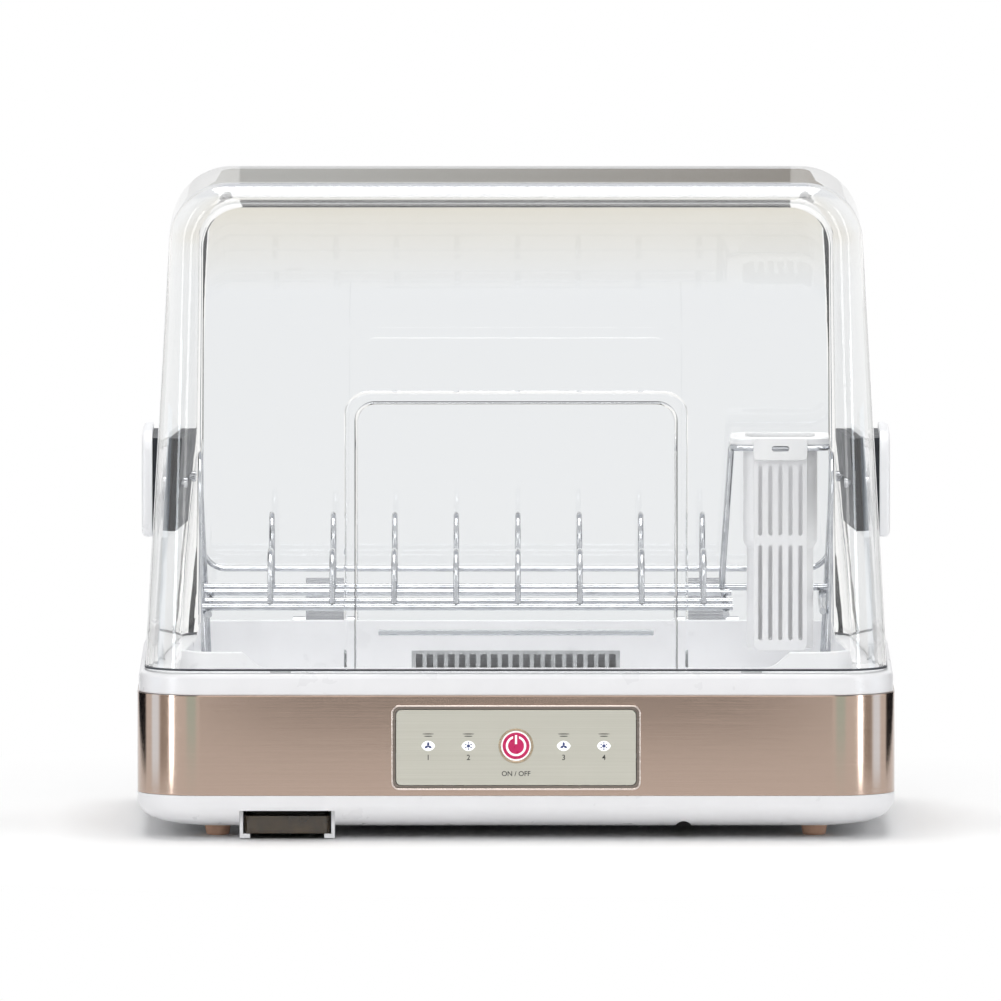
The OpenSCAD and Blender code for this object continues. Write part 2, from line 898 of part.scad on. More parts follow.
// Round blower housing with its nozzle to the rear, standing on four posts
module blower_housing() {
    post_r = 3;
    post_at = blower_r - 2 * post_r;
    intake_r = wheel_r * 0.6;
    color([0.85, 0.85, 0.83])
    difference() {
        union() {
            translate([0, blower_y, blower_z - duct_wall])
                cylinder(r = blower_r, h = blower_h + duct_wall);
            translate([duct_wall, blower_y, blower_z - duct_wall])
                cube([nozzle_w, nozzle_end - blower_y, blower_h + duct_wall]);
            for (turn = [45 : 90 : 315])
                translate([post_at * cos(turn), blower_y + post_at * sin(turn), case_floor])
                    cylinder(r = post_r, h = blower_rise);
        }
        translate([0, blower_y, blower_z])
            cylinder(r = blower_r - duct_wall, h = blower_h + over);
        translate([2 * duct_wall, blower_y, blower_z])
            cube([nozzle_w - 2 * duct_wall, nozzle_end - blower_y + over, blower_h + over]);
        translate([0, blower_y, blower_z - 2 * duct_wall])
            cylinder(r = intake_r, h = 3 * duct_wall);
    }
}

// Lid of the blower housing, with a hole for the shaft
module blower_cover() {
    color([0.8, 0.8, 0.78])
    difference() {
        union() {
            translate([0, blower_y, blower_top])
                cylinder(r = blower_r, h = duct_wall);
            translate([duct_wall, blower_y, blower_top])
                cube([nozzle_w, nozzle_end - blower_y, duct_wall]);
        }
        translate([0, blower_y, blower_top - over])
            cylinder(d = shaft_d + 4 * slide, h = duct_wall + 2 * over);
    }
}

// Motor on top of the blower
module fan_motor() {
    color([0.6, 0.6, 0.62])
    translate([0, blower_y, blower_top + duct_wall])
        difference() {
            cylinder(r = motor_r, h = motor_h);
            translate([0, 0, -over])
                cylinder(d = shaft_d + 2 * run, h = motor_h + 2 * over);
        }
}

// Square duct that holds the heater between blower and riser
module heater_duct() {
    color([0.7, 0.7, 0.72])
    difference() {
        translate([duct_wall, nozzle_end, blower_z - duct_wall])
            cube([nozzle_w, pan_y1 - nozzle_end, blower_h + 2 * duct_wall]);
        translate([2 * duct_wall, nozzle_end - over, blower_z])
            cube([nozzle_w - 2 * duct_wall, pan_y1 - nozzle_end + 2 * over, blower_h]);
    }
}

// Finned heater block that fills the duct
module ptc_heater() {
    fin_n = 9;
    heater_w = nozzle_w - 2 * duct_wall - 2 * seat;
    heater_h = blower_h - 2 * seat;
    heater_l = (pan_y1 - nozzle_end) * 0.6;
    fin_pitch = heater_w / fin_n;
    color([0.75, 0.6, 0.4])
    translate([nozzle_x - heater_w / 2, nozzle_end + heater_l / 4, blower_z + seat])
        difference() {
            cube([heater_w, heater_l, heater_h]);
            for (i = [0 : fin_n - 1])
                translate([(i + 0.5) * fin_pitch, heater_l / 2, heater_h / 2])
                    cube([fin_pitch / 2, heater_l + 2 * over, heater_h - 4 * duct_wall], center = true);
        }
}

// Round cut-out on top of the heater duct
module thermal_cutout() {
    cutout_r = 7.5;
    cutout_h = 5;
    color(dark)
    translate([nozzle_x, (nozzle_end + pan_y1) / 2, blower_top + duct_wall])
        cylinder(r = cutout_r, h = cutout_h);
}

// Duct that turns the warm air up and forward through the pan wall
module riser_duct() {
    riser_w = outlet_w + 4 * duct_wall;
    riser_top = deck_under - seat;
    color([0.7, 0.7, 0.72])
    difference() {
        translate([-riser_w / 2, pan_y1, blower_z - duct_wall])
            cube([riser_w, riser_d, riser_top - blower_z + duct_wall]);
        translate([-riser_w / 2 + duct_wall, pan_y1 + duct_wall, blower_z])
            cube([riser_w - 2 * duct_wall, riser_d - 2 * duct_wall, riser_top - blower_z - duct_wall]);
        translate([2 * duct_wall, pan_y1 - over, blower_z])
            cube([nozzle_w - 2 * duct_wall, 2 * duct_wall, blower_h]);
        translate([-outlet_w / 2, pan_y1 - over, outlet_z])
            cube([outlet_w, 2 * duct_wall, outlet_h]);
    }
}

// Upright slats in the warm air outlet
module outlet_grille() {
    slat_n = 20;
    slat_t = 2.4;
    slat_pitch = (outlet_w - 2 * seat - slat_t) / (slat_n - 1);
    color(white) {
        for (i = [0 : slat_n - 1])
            translate([-outlet_w / 2 + seat + i * slat_pitch, pan_y1 - pan_wall, outlet_z + seat])
                cube([slat_t, pan_wall, outlet_h - 2 * seat]);
        for (z = [outlet_z + seat, outlet_z + outlet_h - seat - duct_wall])
            translate([-outlet_w / 2 + seat, pan_y1 - pan_wall, z])
                cube([outlet_w - 2 * seat, pan_wall, duct_wall]);
    }
}

// Gland in the rear of the band for the mains lead
module cord_gland() {
    color(dark)
    translate([gland_x, 0, gland_z])
        difference() {
            union() {
                bar_y(gland_r, base_rear, base_rear + bezel_proud);
                bar_y(gland_r - over - seat, base_rear - 3 * gland_r / 2, base_rear + eps);
                bar_y(gland_r, base_rear - band_t - rim_wall, base_rear - band_t);
            }
            bar_y(gland_bore / 2, base_rear - 2 * gland_r, base_rear + 2 * bezel_proud);
        }
}

// Screws from below, through the case into the deck's bosses
module case_screws() {
    head_h = case_screw_d * head_ratio;
    screw_tip = boss_joint + boss_bore - case_screw_d;
    color(chrome)
    at_bosses() {
        translate([0, 0, case_floor + case_wall - head_h])
            cylinder(d = 2 * case_screw_d - 4 * seat, h = head_h);
        translate([0, 0, case_floor + case_wall - eps])
            cylinder(d = case_screw_d, h = screw_tip - case_floor - case_wall);
    }
}

module at_hinges() {
    for (x = [-hinge_x, hinge_x])
        translate([x, 0, 0])
            children();
}

module at_bracket_screws() {
    for (x = [-1, 1])
        translate([x * bracket_w / 4, 0, rim_top - bracket_drop / 2])
            children();
}

// Steel brackets on the rear edge of the deck, each with two knuckles
module hinge_brackets() {
    plate_y = base_rear - rim_setback;
    color(chrome)
    at_hinges()
        difference() {
            union() {
                translate([-bracket_w / 2, axis_y - knuckle_r, rim_top])
                    cube([bracket_w, bracket_back - axis_y + knuckle_r, bracket_t]);
                translate([-bracket_w / 2, plate_y, rim_top - bracket_drop])
                    cube([bracket_w, bracket_back - plate_y, bracket_drop + eps]);
                for (x = [-bracket_w / 2, bracket_w / 2 - ear_l]) {
                    translate([x, axis_y - knuckle_r, rim_top])
                        cube([ear_l, 2 * knuckle_r, hinge_z]);
                    translate([x + ear_l / 2, axis_y, axis_z])
                        bar_x_centred(knuckle_r, ear_l);
                }
            }
            translate([0, axis_y, axis_z])
                bar_x_centred(pin_d / 2 + run, bracket_w + 2 * over);
            at_bracket_screws()
                bar_y(small_screw_d / 2 + seat, plate_y - over, bracket_back + over);
        }
}

// Pins through the knuckles
module hinge_pins() {
    color([0.6, 0.6, 0.62])
    at_hinges()
        translate([0, axis_y, axis_z])
            bar_x_centred(pin_d / 2, bracket_w);
}

// Screws that hold the brackets to the rim
module bracket_screws() {
    color(chrome)
    at_hinges()
        at_bracket_screws()
            bar_y(small_screw_d / 2, base_rear - rim_setback, bracket_back);
}

// Magenta power button with its flange and stem
module power_button() {
    color([0.78, 0.12, 0.4])
    translate([0, 0, button_z]) {
        bar_y(button_d / 2, button_front, face_rear + seat + eps);
        bar_y(button_d / 2 + light_w, face_rear + seat, face_rear + seat + button_flange);
        bar_y(stem_r, face_rear + seat, stem_end);
    }
}

// Raised power sign on the button
module power_symbol() {
    sign_r = button_d * 0.34;
    sign_w = button_d * 0.08;
    sign_gap = sign_w * 2.8;
    color("white")
    on_front(base_front - bezel_proud, button_front)
        translate([0, button_z]) {
            difference() {
                circle(sign_r + sign_w / 2);
                circle(sign_r - sign_w / 2);
                translate([-sign_gap / 2, 0])
                    square([sign_gap, button_d]);
            }
            translate([-sign_w / 2, sign_r / 5])
                square([sign_w, sign_r]);
        }
}

// Fan wheel: a back disc, a hub and upright blades
module fan_wheel() {
    disc_t = 2;
    color(dark)
    translate([0, blower_y, wheel_z])
        difference() {
            union() {
                translate([0, 0, wheel_h - disc_t])
                    cylinder(r = wheel_r, h = disc_t);
                cylinder(r = hub_r, h = wheel_h);
                for (i = [0 : blade_n - 1])
                    rotate([0, 0, i * 360 / blade_n])
                        translate([wheel_r - blade_l - blade_t, -blade_t / 2, 0])
                            cube([blade_l, blade_t, wheel_h]);
            }
            translate([0, 0, -over])
                cylinder(d = shaft_d + 2 * run, h = wheel_h + 2 * over);
        }
}

// Shaft from the motor down to the fan wheel
module fan_shaft() {
    color(chrome)
    translate([0, blower_y, wheel_z])
        cylinder(d = shaft_d, h = blower_top + duct_wall + motor_h - wheel_z);
}

// Smoked brown tray that slides out to the front
module drip_tray() {
    color([0.29, 0.24, 0.18])
    translate([slot_x - tray_w / 2, tray_front, tray_z])
        difference() {
            cube([tray_w, tray_l, tray_h]);
            translate([tray_wall, tray_wall, tray_wall])
                cube([tray_w - 2 * tray_wall, tray_l - 2 * tray_wall, tray_h]);
        }
}

// One end loop of the rack, standing on two legs and leaning outward
module rack_loop() {
    cap_floor = cap_wall;
    translate([rack_foot_x, leg_mid, rack_floor])
        rotate([0, rack_splay, 0])
            translate([0, 0, cap_floor])
                arch(leg_span, loop_h - cap_floor, loop_bend, loop_r);
}

module rack_loop_left() {
    color(chrome)
    mirror([1, 0, 0])
        rack_loop();
}

module rack_loop_right() {
    color(chrome)
    rack_loop();
}

// Bars from front to rear that carry the rails: one at each end and one beside the caddy
module rack_end_bars() {
    color(chrome) {
        translate([-bar_x, 0, bar_z])
            bar_y(rail_r, rail_1 - rail_wire, leg_rear + rail_wire);
        translate([rail_end - rail_wire, 0, bar_z])
            bar_y(rail_r, rail_1 - rail_wire, rail_4 + rail_wire);
        translate([bar_x, 0, bar_z])
            bar_y(rail_r, leg_front - rail_wire, leg_rear + rail_wire);
    }
}

// Long rails that carry the dividers; only the hindmost runs on behind the caddy
module rack_rails() {
    color(chrome) {
        for (y = [rail_1, rail_2, rail_3])
            translate([(rail_end - rail_half) / 2, y, rails_z])
                bar_x_centred(rail_r, rail_half + rail_end);
        translate([0, rail_4, rails_z])
            bar_x_centred(rail_r, 2 * rail_half);
    }
}

module divider_row(middle, span, height) {
    for (i = [0 : divider_n - 1])
        translate([divider_x0 + i * divider_pitch, middle, rails_z + rail_r])
            arch(span, height, divider_bend, fine_r);
}

// Row of tall dividers at the rear
module rear_dividers() {
    color(chrome)
    divider_row(rear_mid, rail_4 - rail_3, divider_rear_h);
}

// Row of low dividers at the front
module front_dividers() {
    color(chrome)
    divider_row(front_mid, rail_2 - rail_1, divider_front_h);
}

// Long wire behind the dividers with bent ends, and two risers welded on along the rear legs
module plate_stop() {
    bend_z = stop_level + stop_bend;
    rise_z = bend_z - stop_bend * sin(rack_splay);
    bend_x = leg_x(rise_z) - stop_bend * cos(rack_splay);
    rise_l = (loop_top - loop_bend - rise_z) / cos(rack_splay);
    color(chrome)
    translate([0, stop_y, 0]) {
        translate([0, 0, stop_level])
            bar_x_centred(fine_r, 2 * bend_x);
        for (side = [0, 1])
            mirror([side, 0, 0]) {
                translate([bend_x, 0, bend_z])
                    rotate([90, 90, 0])
                        rotate_extrude(angle = 90 - rack_splay)
                            translate([stop_bend, 0])
                                circle(fine_r);
                translate([leg_x(rise_z), 0, rise_z])
                    rotate([0, rack_splay, 0])
                        translate([0, 0, eps])
                            cylinder(r = fine_r, h = rise_l);
            }
    }
}

// Wire ring for the caddy, welded to the right loop and propped on the rear rails
module caddy_hanger() {
    ring_mid = (hanger_left + hanger_right) / 2;
    prop_end = rails_z + rail_r + fine_r * sin(hanger_leg_lean);
    prop_l = (loop_top - fine_r - prop_end) / cos(hanger_leg_lean);
    color(chrome) {
        translate([ring_mid, rear_mid, loop_top]) {
            for (side = [-1, 1]) {
                translate([side * hanger_w / 2, 0, 0])
                    bar_y(fine_r, hanger_bend - hanger_span / 2, hanger_span / 2 - hanger_bend);
                translate([0, side * hanger_span / 2, 0])
                    bar_x_centred(fine_r, hanger_w - 2 * hanger_bend);
            }
            for (x = [0, 1], y = [0, 1])
                mirror([x, 0, 0])
                    mirror([0, y, 0])
                        translate([hanger_w / 2 - hanger_bend, hanger_span / 2 - hanger_bend, 0])
                            rotate_extrude(angle = 90)
                                translate([hanger_bend, 0])
                                    circle(fine_r);
        }
        for (y = [rail_3, rail_4])
            translate([hanger_left, y, loop_top - fine_r])
                rotate([0, 180 + hanger_leg_lean, 0])
                    cylinder(r = fine_r, h = prop_l);
    }
}

// Rubber caps on the rack's legs, cut flat where they stand
module rack_feet() {
    cap_r = loop_r + cap_wall;
    color("white")
    for (side = [0, 1], y = [leg_front, leg_rear])
        mirror([side, 0, 0])
            intersection() {
                translate([rack_foot_x, y, rack_floor])
                    rotate([0, rack_splay, 0])
                        difference() {
                            translate([0, 0, -over])
                                cylinder(r = cap_r, h = cap_h + over);
                            translate([0, 0, cap_wall])
                                cylinder(r = loop_r + run, h = cap_h);
                        }
                translate([0, y - 2 * cap_r, rack_floor])
                    cube([base_w / 2, 4 * cap_r, 2 * cap_h]);
            }
}

// White utensil caddy: a stepped cup that hangs by its flange, with a slotted tongue
// and a lip that hooks over the front wire of the hanger
module utensil_caddy() {
    upper_w = caddy_w + 2 * caddy_step;
    upper_d = caddy_d + 2 * caddy_step;
    tongue_y = upper_d / 2 + tongue_t;
    lip_y = hanger_span / 2 + fine_r + slide;
    lip_low = loop_top - fine_r - caddy_rib;
    peep_w = 10;
    slot_low = caddy_low + 3 * caddy_wall;
    slot_high = caddy_top - flange_t - 6 * caddy_wall;
    slot_rows = [[slot_low, caddy_waist], [caddy_waist + caddy_rib, slot_high]];
    slot_x0 = -caddy_slot_pitch * (caddy_slot_n - 1) / 2 - caddy_slot_w / 2;
    color(white)
    translate([caddy_x, rear_mid, 0])
        difference() {
            union() {
                slab(caddy_w, caddy_d, caddy_rib, caddy_low, caddy_top);
                slab(upper_w, upper_d, caddy_rib, caddy_waist, caddy_top);
                slab(flange_w, flange_d, caddy_rib, caddy_top - flange_t, caddy_top);
                translate([-tongue_w / 2, -tongue_y, caddy_low])
                    cube([tongue_w, tongue_y, caddy_top - caddy_low]);
                translate([-tongue_w / 2, -lip_y - caddy_wall, caddy_top - flange_t])
                    cube([tongue_w, lip_y, flange_t]);
                translate([-tongue_w / 2, -lip_y - caddy_wall, lip_low])
                    cube([tongue_w, caddy_wall, caddy_top - lip_low]);
            }
            slab(caddy_w - 2 * caddy_wall, caddy_d - 2 * caddy_wall, caddy_rib - caddy_wall,
                caddy_low + caddy_wall, caddy_top + over);
            slab(upper_w - 2 * caddy_wall, upper_d - 2 * caddy_wall, caddy_rib - caddy_wall,
                caddy_waist + caddy_wall, caddy_top + over);
            for (i = [0 : caddy_slot_n - 1], row = slot_rows)
                translate([slot_x0 + i * caddy_slot_pitch, -caddy_d, row[0]])
                    cube([caddy_slot_w, 2 * caddy_d, row[1] - row[0]]);
            on_front(-lip_y - 2 * caddy_wall, -hanger_span / 2)
                translate([0, loop_top])
                    stadium(peep_w, fine_wire);
        }
}

// The closed form of the lid, drawn in by t on every wall
module lid_form(t) {
    hull() {
        for (x = [-1, 1], y = [lid_y0 + lid_foot_r, lid_y1 - lid_foot_r])
            translate([x * (lid_half - lid_foot_r), y, lid_foot - (t > 0 ? over : 0)])
                cylinder(r = lid_foot_r - t, h = eps, $fn = smooth * 2);
        for (x = [-1, 1])
            translate([x * shoulder_x(shoulder_z), fillet_y, shoulder_z])
                rotate([90, 0, 0])
                    rotate_extrude($fn = smooth * 2)
                        translate([fillet_ring, 0])
                            circle(lid_fillet - t, $fn = smooth);
        for (x = [-1, 1], i = [0 : rear_arc_steps]) {
            turn = 90 * i / rear_arc_steps;
            z = rear_arc_z + (lid_rear_arc - lid_shoulder_r) * cos(turn);
            translate([x * shoulder_x(z), rear_arc_y + (lid_rear_arc - lid_shoulder_r) * sin(turn), z])
                sphere(lid_shoulder_r - t, $fn = smooth);
        }
    }
}

// A shape drawn on the leaning front of the lid, from depth a out to b
module on_lid_front(a, b) {
    translate([0, lid_y0, lid_foot])
        rotate([90 - lid_draft, 0, 0])
            translate([0, 0, a])
                linear_extrude(b - a)
                    children();
}

// The raised panel's outline, drawn in by t and with its foot lowered by drop
module emboss_outline(t, drop) {
    w = emboss_w - 2 * t;
    h = emboss_h - t;
    r = emboss_r - t;
    translate([-w / 2, -drop])
        square([w, h - r + drop]);
    translate([-w / 2 + r, -drop])
        square([w - 2 * r, h + drop]);
    for (side = [-1, 1])
        translate([side * (w / 2 - r), h - r])
            circle(r);
}

module at_grip_screws() {
    for (side = [0, 1], y = [-1, 1])
        mirror([side, 0, 0])
            translate([0, grip_y + y * grip_screw_pitch / 2, grip_mid])
                rotate([0, 90, 0])
                    children();
}

module at_leaf_screws() {
    for (x = [-1, 1])
        translate([x * knuckle_l / 4, 0, leaf_low + leaf_h * 0.7])
            children();
}

// Clear moulded lid with the raised panel on its front
module lid_shell() {
    color(clear)
    difference() {
        union() {
            lid_form(0);
            on_lid_front(-lid_wall / 2, emboss_step)
                emboss_outline(0, 0);
        }
        lid_form(lid_wall);
        on_lid_front(-2 * lid_wall, emboss_step - lid_wall)
            emboss_outline(lid_wall, over);
        at_grip_screws()
            cylinder(d = small_screw_d + 2 * seat, h = base_w);
        at_hinges()
            at_leaf_screws()
                bar_y(small_screw_d / 2 + seat, lid_y1 - 2 * lid_wall, lid_y1 + over);
    }
}

// Lip at the foot of the raised panel, to lift the lid by
module finger_ledge() {
    color([0.45, 0.47, 0.5])
    on_lid_front(emboss_step, emboss_step + ledge_reach)
        translate([0, ledge_z])
            stadium(ledge_w, ledge_t);
}

// White pad, hollowed a little on its outer face
module grip_pad() {
    dish_r = grip_h * 2;
    dish_depth = grip_t / 4;
    difference() {
        translate([grip_in, grip_y, grip_mid])
            rotate([90, 0, 90])
                linear_extrude(grip_t)
                    plan(grip_l, grip_h, grip_h / 5);
        translate([grip_in + grip_t + dish_r - dish_depth, grip_y, grip_mid])
            bar_y(dish_r, grip_margin * 2 - grip_l / 2, grip_l / 2 - grip_margin * 2);
        at_grip_screws()
            cylinder(d = small_screw_d + 2 * seat, h = grip_in + grip_t / 2);
    }
}

module grip_left() {
    color(white)
    mirror([1, 0, 0])
        grip_pad();
}

module grip_right() {
    color(white)
    grip_pad();
}

// Dark wedges that fill the lean between the lid wall and the upright grips
module grip_spacers() {
    low = grip_low + grip_margin;
    high = grip_low + grip_h - grip_margin;
    color(dark)
    for (side = [0, 1])
        mirror([side, 0, 0])
            difference() {
                translate([0, grip_y + grip_l / 2 - grip_margin, 0])
                    rotate([90, 0, 0])
                        linear_extrude(grip_l - 2 * grip_margin)
                            polygon([[lid_side(low), low], [grip_in, low],
                                [grip_in, high], [lid_side(high), high]]);
                at_grip_screws()
                    cylinder(d = small_screw_d + 2 * seat, h = base_w);
            }
}

// Dark plates inside the lid that the grip screws pull against
module grip_backings() {
    low = grip_low + grip_margin;
    high = grip_low + grip_h - grip_margin;
    inner = lid_wall / cos(lid_draft) + seat;
    outer = inner + grip_backing_t;
    color(dark)
    for (side = [0, 1])
        mirror([side, 0, 0])
            difference() {
                translate([0, grip_y + grip_l / 2 - grip_margin, 0])
                    rotate([90, 0, 0])
                        linear_extrude(grip_l - 2 * grip_margin)
                            polygon([[lid_side(low) - outer, low], [lid_side(low) - inner, low],
                                [lid_side(high) - inner, high], [lid_side(high) - outer, high]]);
                at_grip_screws()
                    cylinder(d = small_screw_d + 2 * seat, h = base_w);
            }
}

// Screws from inside the lid into the grips
module grip_screws() {
    head_in = lid_side(grip_mid) - lid_wall - grip_backing_t - small_screw_d / 2;
    color(chrome)
    at_grip_screws() {
        translate([0, 0, head_in - screw_head_h])
            cylinder(r = screw_head_r, h = screw_head_h + eps);
        translate([0, 0, head_in])
            cylinder(d = small_screw_d, h = grip_in + grip_t / 2 - head_in - seat);
    }
}

// Hinge leaves on the rear wall of the lid, each with one knuckle
module lid_leaves() {
    color(chrome)
    at_hinges()
        difference() {
            union() {
                translate([-knuckle_l / 2, lid_y1, leaf_low])
                    cube([knuckle_l, leaf_t, leaf_h]);
                translate([-knuckle_l / 2, lid_y1 + leaf_t - eps, axis_z])
                    cube([knuckle_l, axis_y - lid_y1 - leaf_t, knuckle_r]);
                translate([0, axis_y, axis_z])
                    bar_x_centred(knuckle_r, knuckle_l);
            }
            translate([0, axis_y, axis_z])
                bar_x_centred(pin_d / 2 + run, knuckle_l + 2 * over);
            at_leaf_screws()
                bar_y(small_screw_d / 2 + seat, lid_y1 - over, lid_y1 + leaf_t + over);
        }
}

// Screws through the leaves into the lid
module leaf_screws() {
    color(chrome)
    at_hinges()
        at_leaf_screws() {
            bar_y(small_screw_d / 2, lid_y1 - lid_wall, lid_y1 + leaf_t + eps);
            bar_y(screw_head_r, lid_y1 + leaf_t, lid_y1 + leaf_t + screw_head_h);
        }
}

bottom_case();
feet();
drip_rails();
steel_band();
deck_rim();
draining_pan();
lid_bumpers();
drain_spout();
face_plate();
face_bezel();
button_ring();
button_light();
indicator_lenses();
indicator_leds();
control_board();
tact_switch();
power_board();
transformer();
board_parts();
blower_housing();
blower_cover();
fan_motor();
heater_duct();
ptc_heater();
thermal_cutout();
riser_duct();
outlet_grille();
cord_gland();
case_screws();
hinge_brackets();
hinge_pins();
bracket_screws();
power_button();
power_symbol();
fan_wheel();
fan_shaft();
drip_tray();
rack_loop_left();
rack_loop_right();
rack_end_bars();
rack_rails();
rear_dividers();
front_dividers();
plate_stop();
caddy_hanger();
rack_feet();
utensil_caddy();
lid_shell();
finger_ledge();
grip_left();
grip_right();
grip_spacers();
grip_backings();
grip_screws();
lid_leaves();
leaf_screws();
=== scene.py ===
import math

import bmesh
import bpy
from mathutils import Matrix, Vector


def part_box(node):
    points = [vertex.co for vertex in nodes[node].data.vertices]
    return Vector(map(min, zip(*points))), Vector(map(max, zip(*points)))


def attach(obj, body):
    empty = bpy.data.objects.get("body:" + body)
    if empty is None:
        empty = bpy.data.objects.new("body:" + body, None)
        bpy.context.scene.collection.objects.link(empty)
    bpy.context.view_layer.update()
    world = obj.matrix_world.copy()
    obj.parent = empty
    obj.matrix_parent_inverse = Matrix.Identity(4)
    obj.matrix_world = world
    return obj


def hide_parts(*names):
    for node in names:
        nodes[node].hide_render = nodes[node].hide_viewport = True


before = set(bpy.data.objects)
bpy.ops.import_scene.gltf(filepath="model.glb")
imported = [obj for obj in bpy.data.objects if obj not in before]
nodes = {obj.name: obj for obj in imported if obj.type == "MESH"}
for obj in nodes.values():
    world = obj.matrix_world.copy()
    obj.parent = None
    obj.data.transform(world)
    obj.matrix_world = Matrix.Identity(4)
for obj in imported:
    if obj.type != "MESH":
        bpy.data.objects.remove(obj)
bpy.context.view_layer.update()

# Bottom case
# A white ABS tub, moulded in one shot, whose belly rolls in under the base. Four long screws pull it
# up against the pan. It has vent slots under the blower and a roofed slot at the left for the drip tray.
mm = 0.001


def pick(kind, test):
    bpy.ops.mesh.select_mode(type=kind)
    bpy.ops.mesh.select_all(action="DESELECT")
    mesh = bmesh.from_edit_mesh(bpy.context.object.data)
    for part in {"VERT": mesh.verts, "EDGE": mesh.edges, "FACE": mesh.faces}[kind]:
        if test(part):
            part.select_set(True)
    mesh.select_flush_mode()
    bmesh.update_edit_mesh(bpy.context.object.data)


def only(piece):
    bpy.ops.object.select_all(action="DESELECT")
    piece.select_set(True)
    bpy.context.view_layer.objects.active = piece


def round_plan(half, y_low, y_high, radius, z, x_mid=0.0, steps=10):
    points = []
    for side_x, side_y, start in ((1, 1, 0), (-1, 1, 90), (-1, -1, 180), (1, -1, 270)):
        centre_x = x_mid + side_x * (half - radius)
        centre_y = y_high - radius if side_y > 0 else y_low + radius
        for step in range(steps + 1):
            turn = math.radians(start + 90 * step / steps)
            x, y = centre_x + radius * math.cos(turn), centre_y + radius * math.sin(turn)
            points.append(Vector((x, y, z)) * mm)
    return points


def skin(name, rings, capped=True, looped=False):
    count, last = len(rings[0]), len(rings) - 1
    faces = []
    for first in range(last + 1 if looped else last):
        here, there = first * count, (first + 1) % (last + 1) * count
        for corner in range(count):
            after = (corner + 1) % count
            faces.append((here + corner, here + after, there + after, there + corner))
    if capped:
        faces += [tuple(range(count)), tuple(range(last * count, (last + 1) * count))]
    mesh = bpy.data.meshes.new(name)
    mesh.from_pydata([point for ring in rings for point in ring], [], faces)
    piece = bpy.data.objects.new(name, mesh)
    bpy.context.collection.objects.link(piece)
    only(piece)
    bpy.ops.object.mode_set(mode="EDIT")
    bpy.ops.mesh.select_all(action="SELECT")
    bpy.ops.mesh.remove_doubles(threshold=1e-7)
    bpy.ops.mesh.normals_make_consistent(inside=False)
    bpy.ops.object.mode_set(mode="OBJECT")
    return piece


def block(name, low, high):
    low, high = Vector(low) * mm, Vector(high) * mm
    bpy.ops.object.select_all(action="DESELECT")
    bpy.ops.mesh.primitive_cube_add(size=1, location=(low + high) / 2)
    piece = bpy.context.object
    piece.name = name
    piece.scale = high - low
    bpy.ops.object.transform_apply(location=True, rotation=True, scale=True)
    return piece


def rod(name, radius, length, middle, turn=(0, 0, 0), sides=48):
    bpy.ops.object.select_all(action="DESELECT")
    bpy.ops.mesh.primitive_cylinder_add(vertices=sides, radius=radius * mm, depth=length * mm,
                                        location=Vector(middle) * mm,
                                        rotation=[math.radians(angle) for angle in turn])
    piece = bpy.context.object
    piece.name = name
    bpy.ops.object.transform_apply(location=True, rotation=True, scale=True)
    return piece


def combine(piece, tool, how="DIFFERENCE"):
    only(piece)
    change = piece.modifiers.new("combine", "BOOLEAN")
    change.operation = how
    change.solver = "EXACT"
    change.object = tool
    bpy.ops.object.modifier_apply(modifier=change.name)
    bpy.data.objects.remove(tool)


def together(name, pieces):
    only(pieces[0])
    for piece in pieces:
        piece.select_set(True)
    bpy.ops.object.join()
    pieces[0].name = name
    return pieces[0]


def copied(piece, move):
    only(piece)
    bpy.ops.object.duplicate(linked=False)
    twin = bpy.context.object
    bpy.ops.transform.translate(value=Vector(move) * mm)
    bpy.ops.object.transform_apply(location=True, rotation=True, scale=True)
    return twin


def soften(piece, width, segments=2, angle=40):
    only(piece)
    change = piece.modifiers.new("soften", "BEVEL")
    change.width = width * mm
    change.segments = segments
    change.limit_method = "ANGLE"
    change.angle_limit = math.radians(angle)
    change.use_clamp_overlap = True
    bpy.ops.object.modifier_apply(modifier=change.name)


def settle(piece, material, body, slot, *stands_for, angle=35):
    only(piece)
    bpy.ops.object.shade_smooth_by_angle(angle=math.radians(angle))
    change = piece.modifiers.new("flat faces", "WEIGHTED_NORMAL")
    change.keep_sharp = True
    bpy.ops.object.modifier_apply(modifier=change.name)
    piece.data.materials.clear()
    piece.data.materials.append(material)
    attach(piece, body)
    if stands_for:
        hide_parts(*stands_for)


def tone(red, green, blue):
    parts = [c / 255 for c in (red, green, blue)]
    return tuple(c / 12.92 if c <= 0.04045 else ((c + 0.055) / 1.055) ** 2.4 for c in parts) + (1.0,)


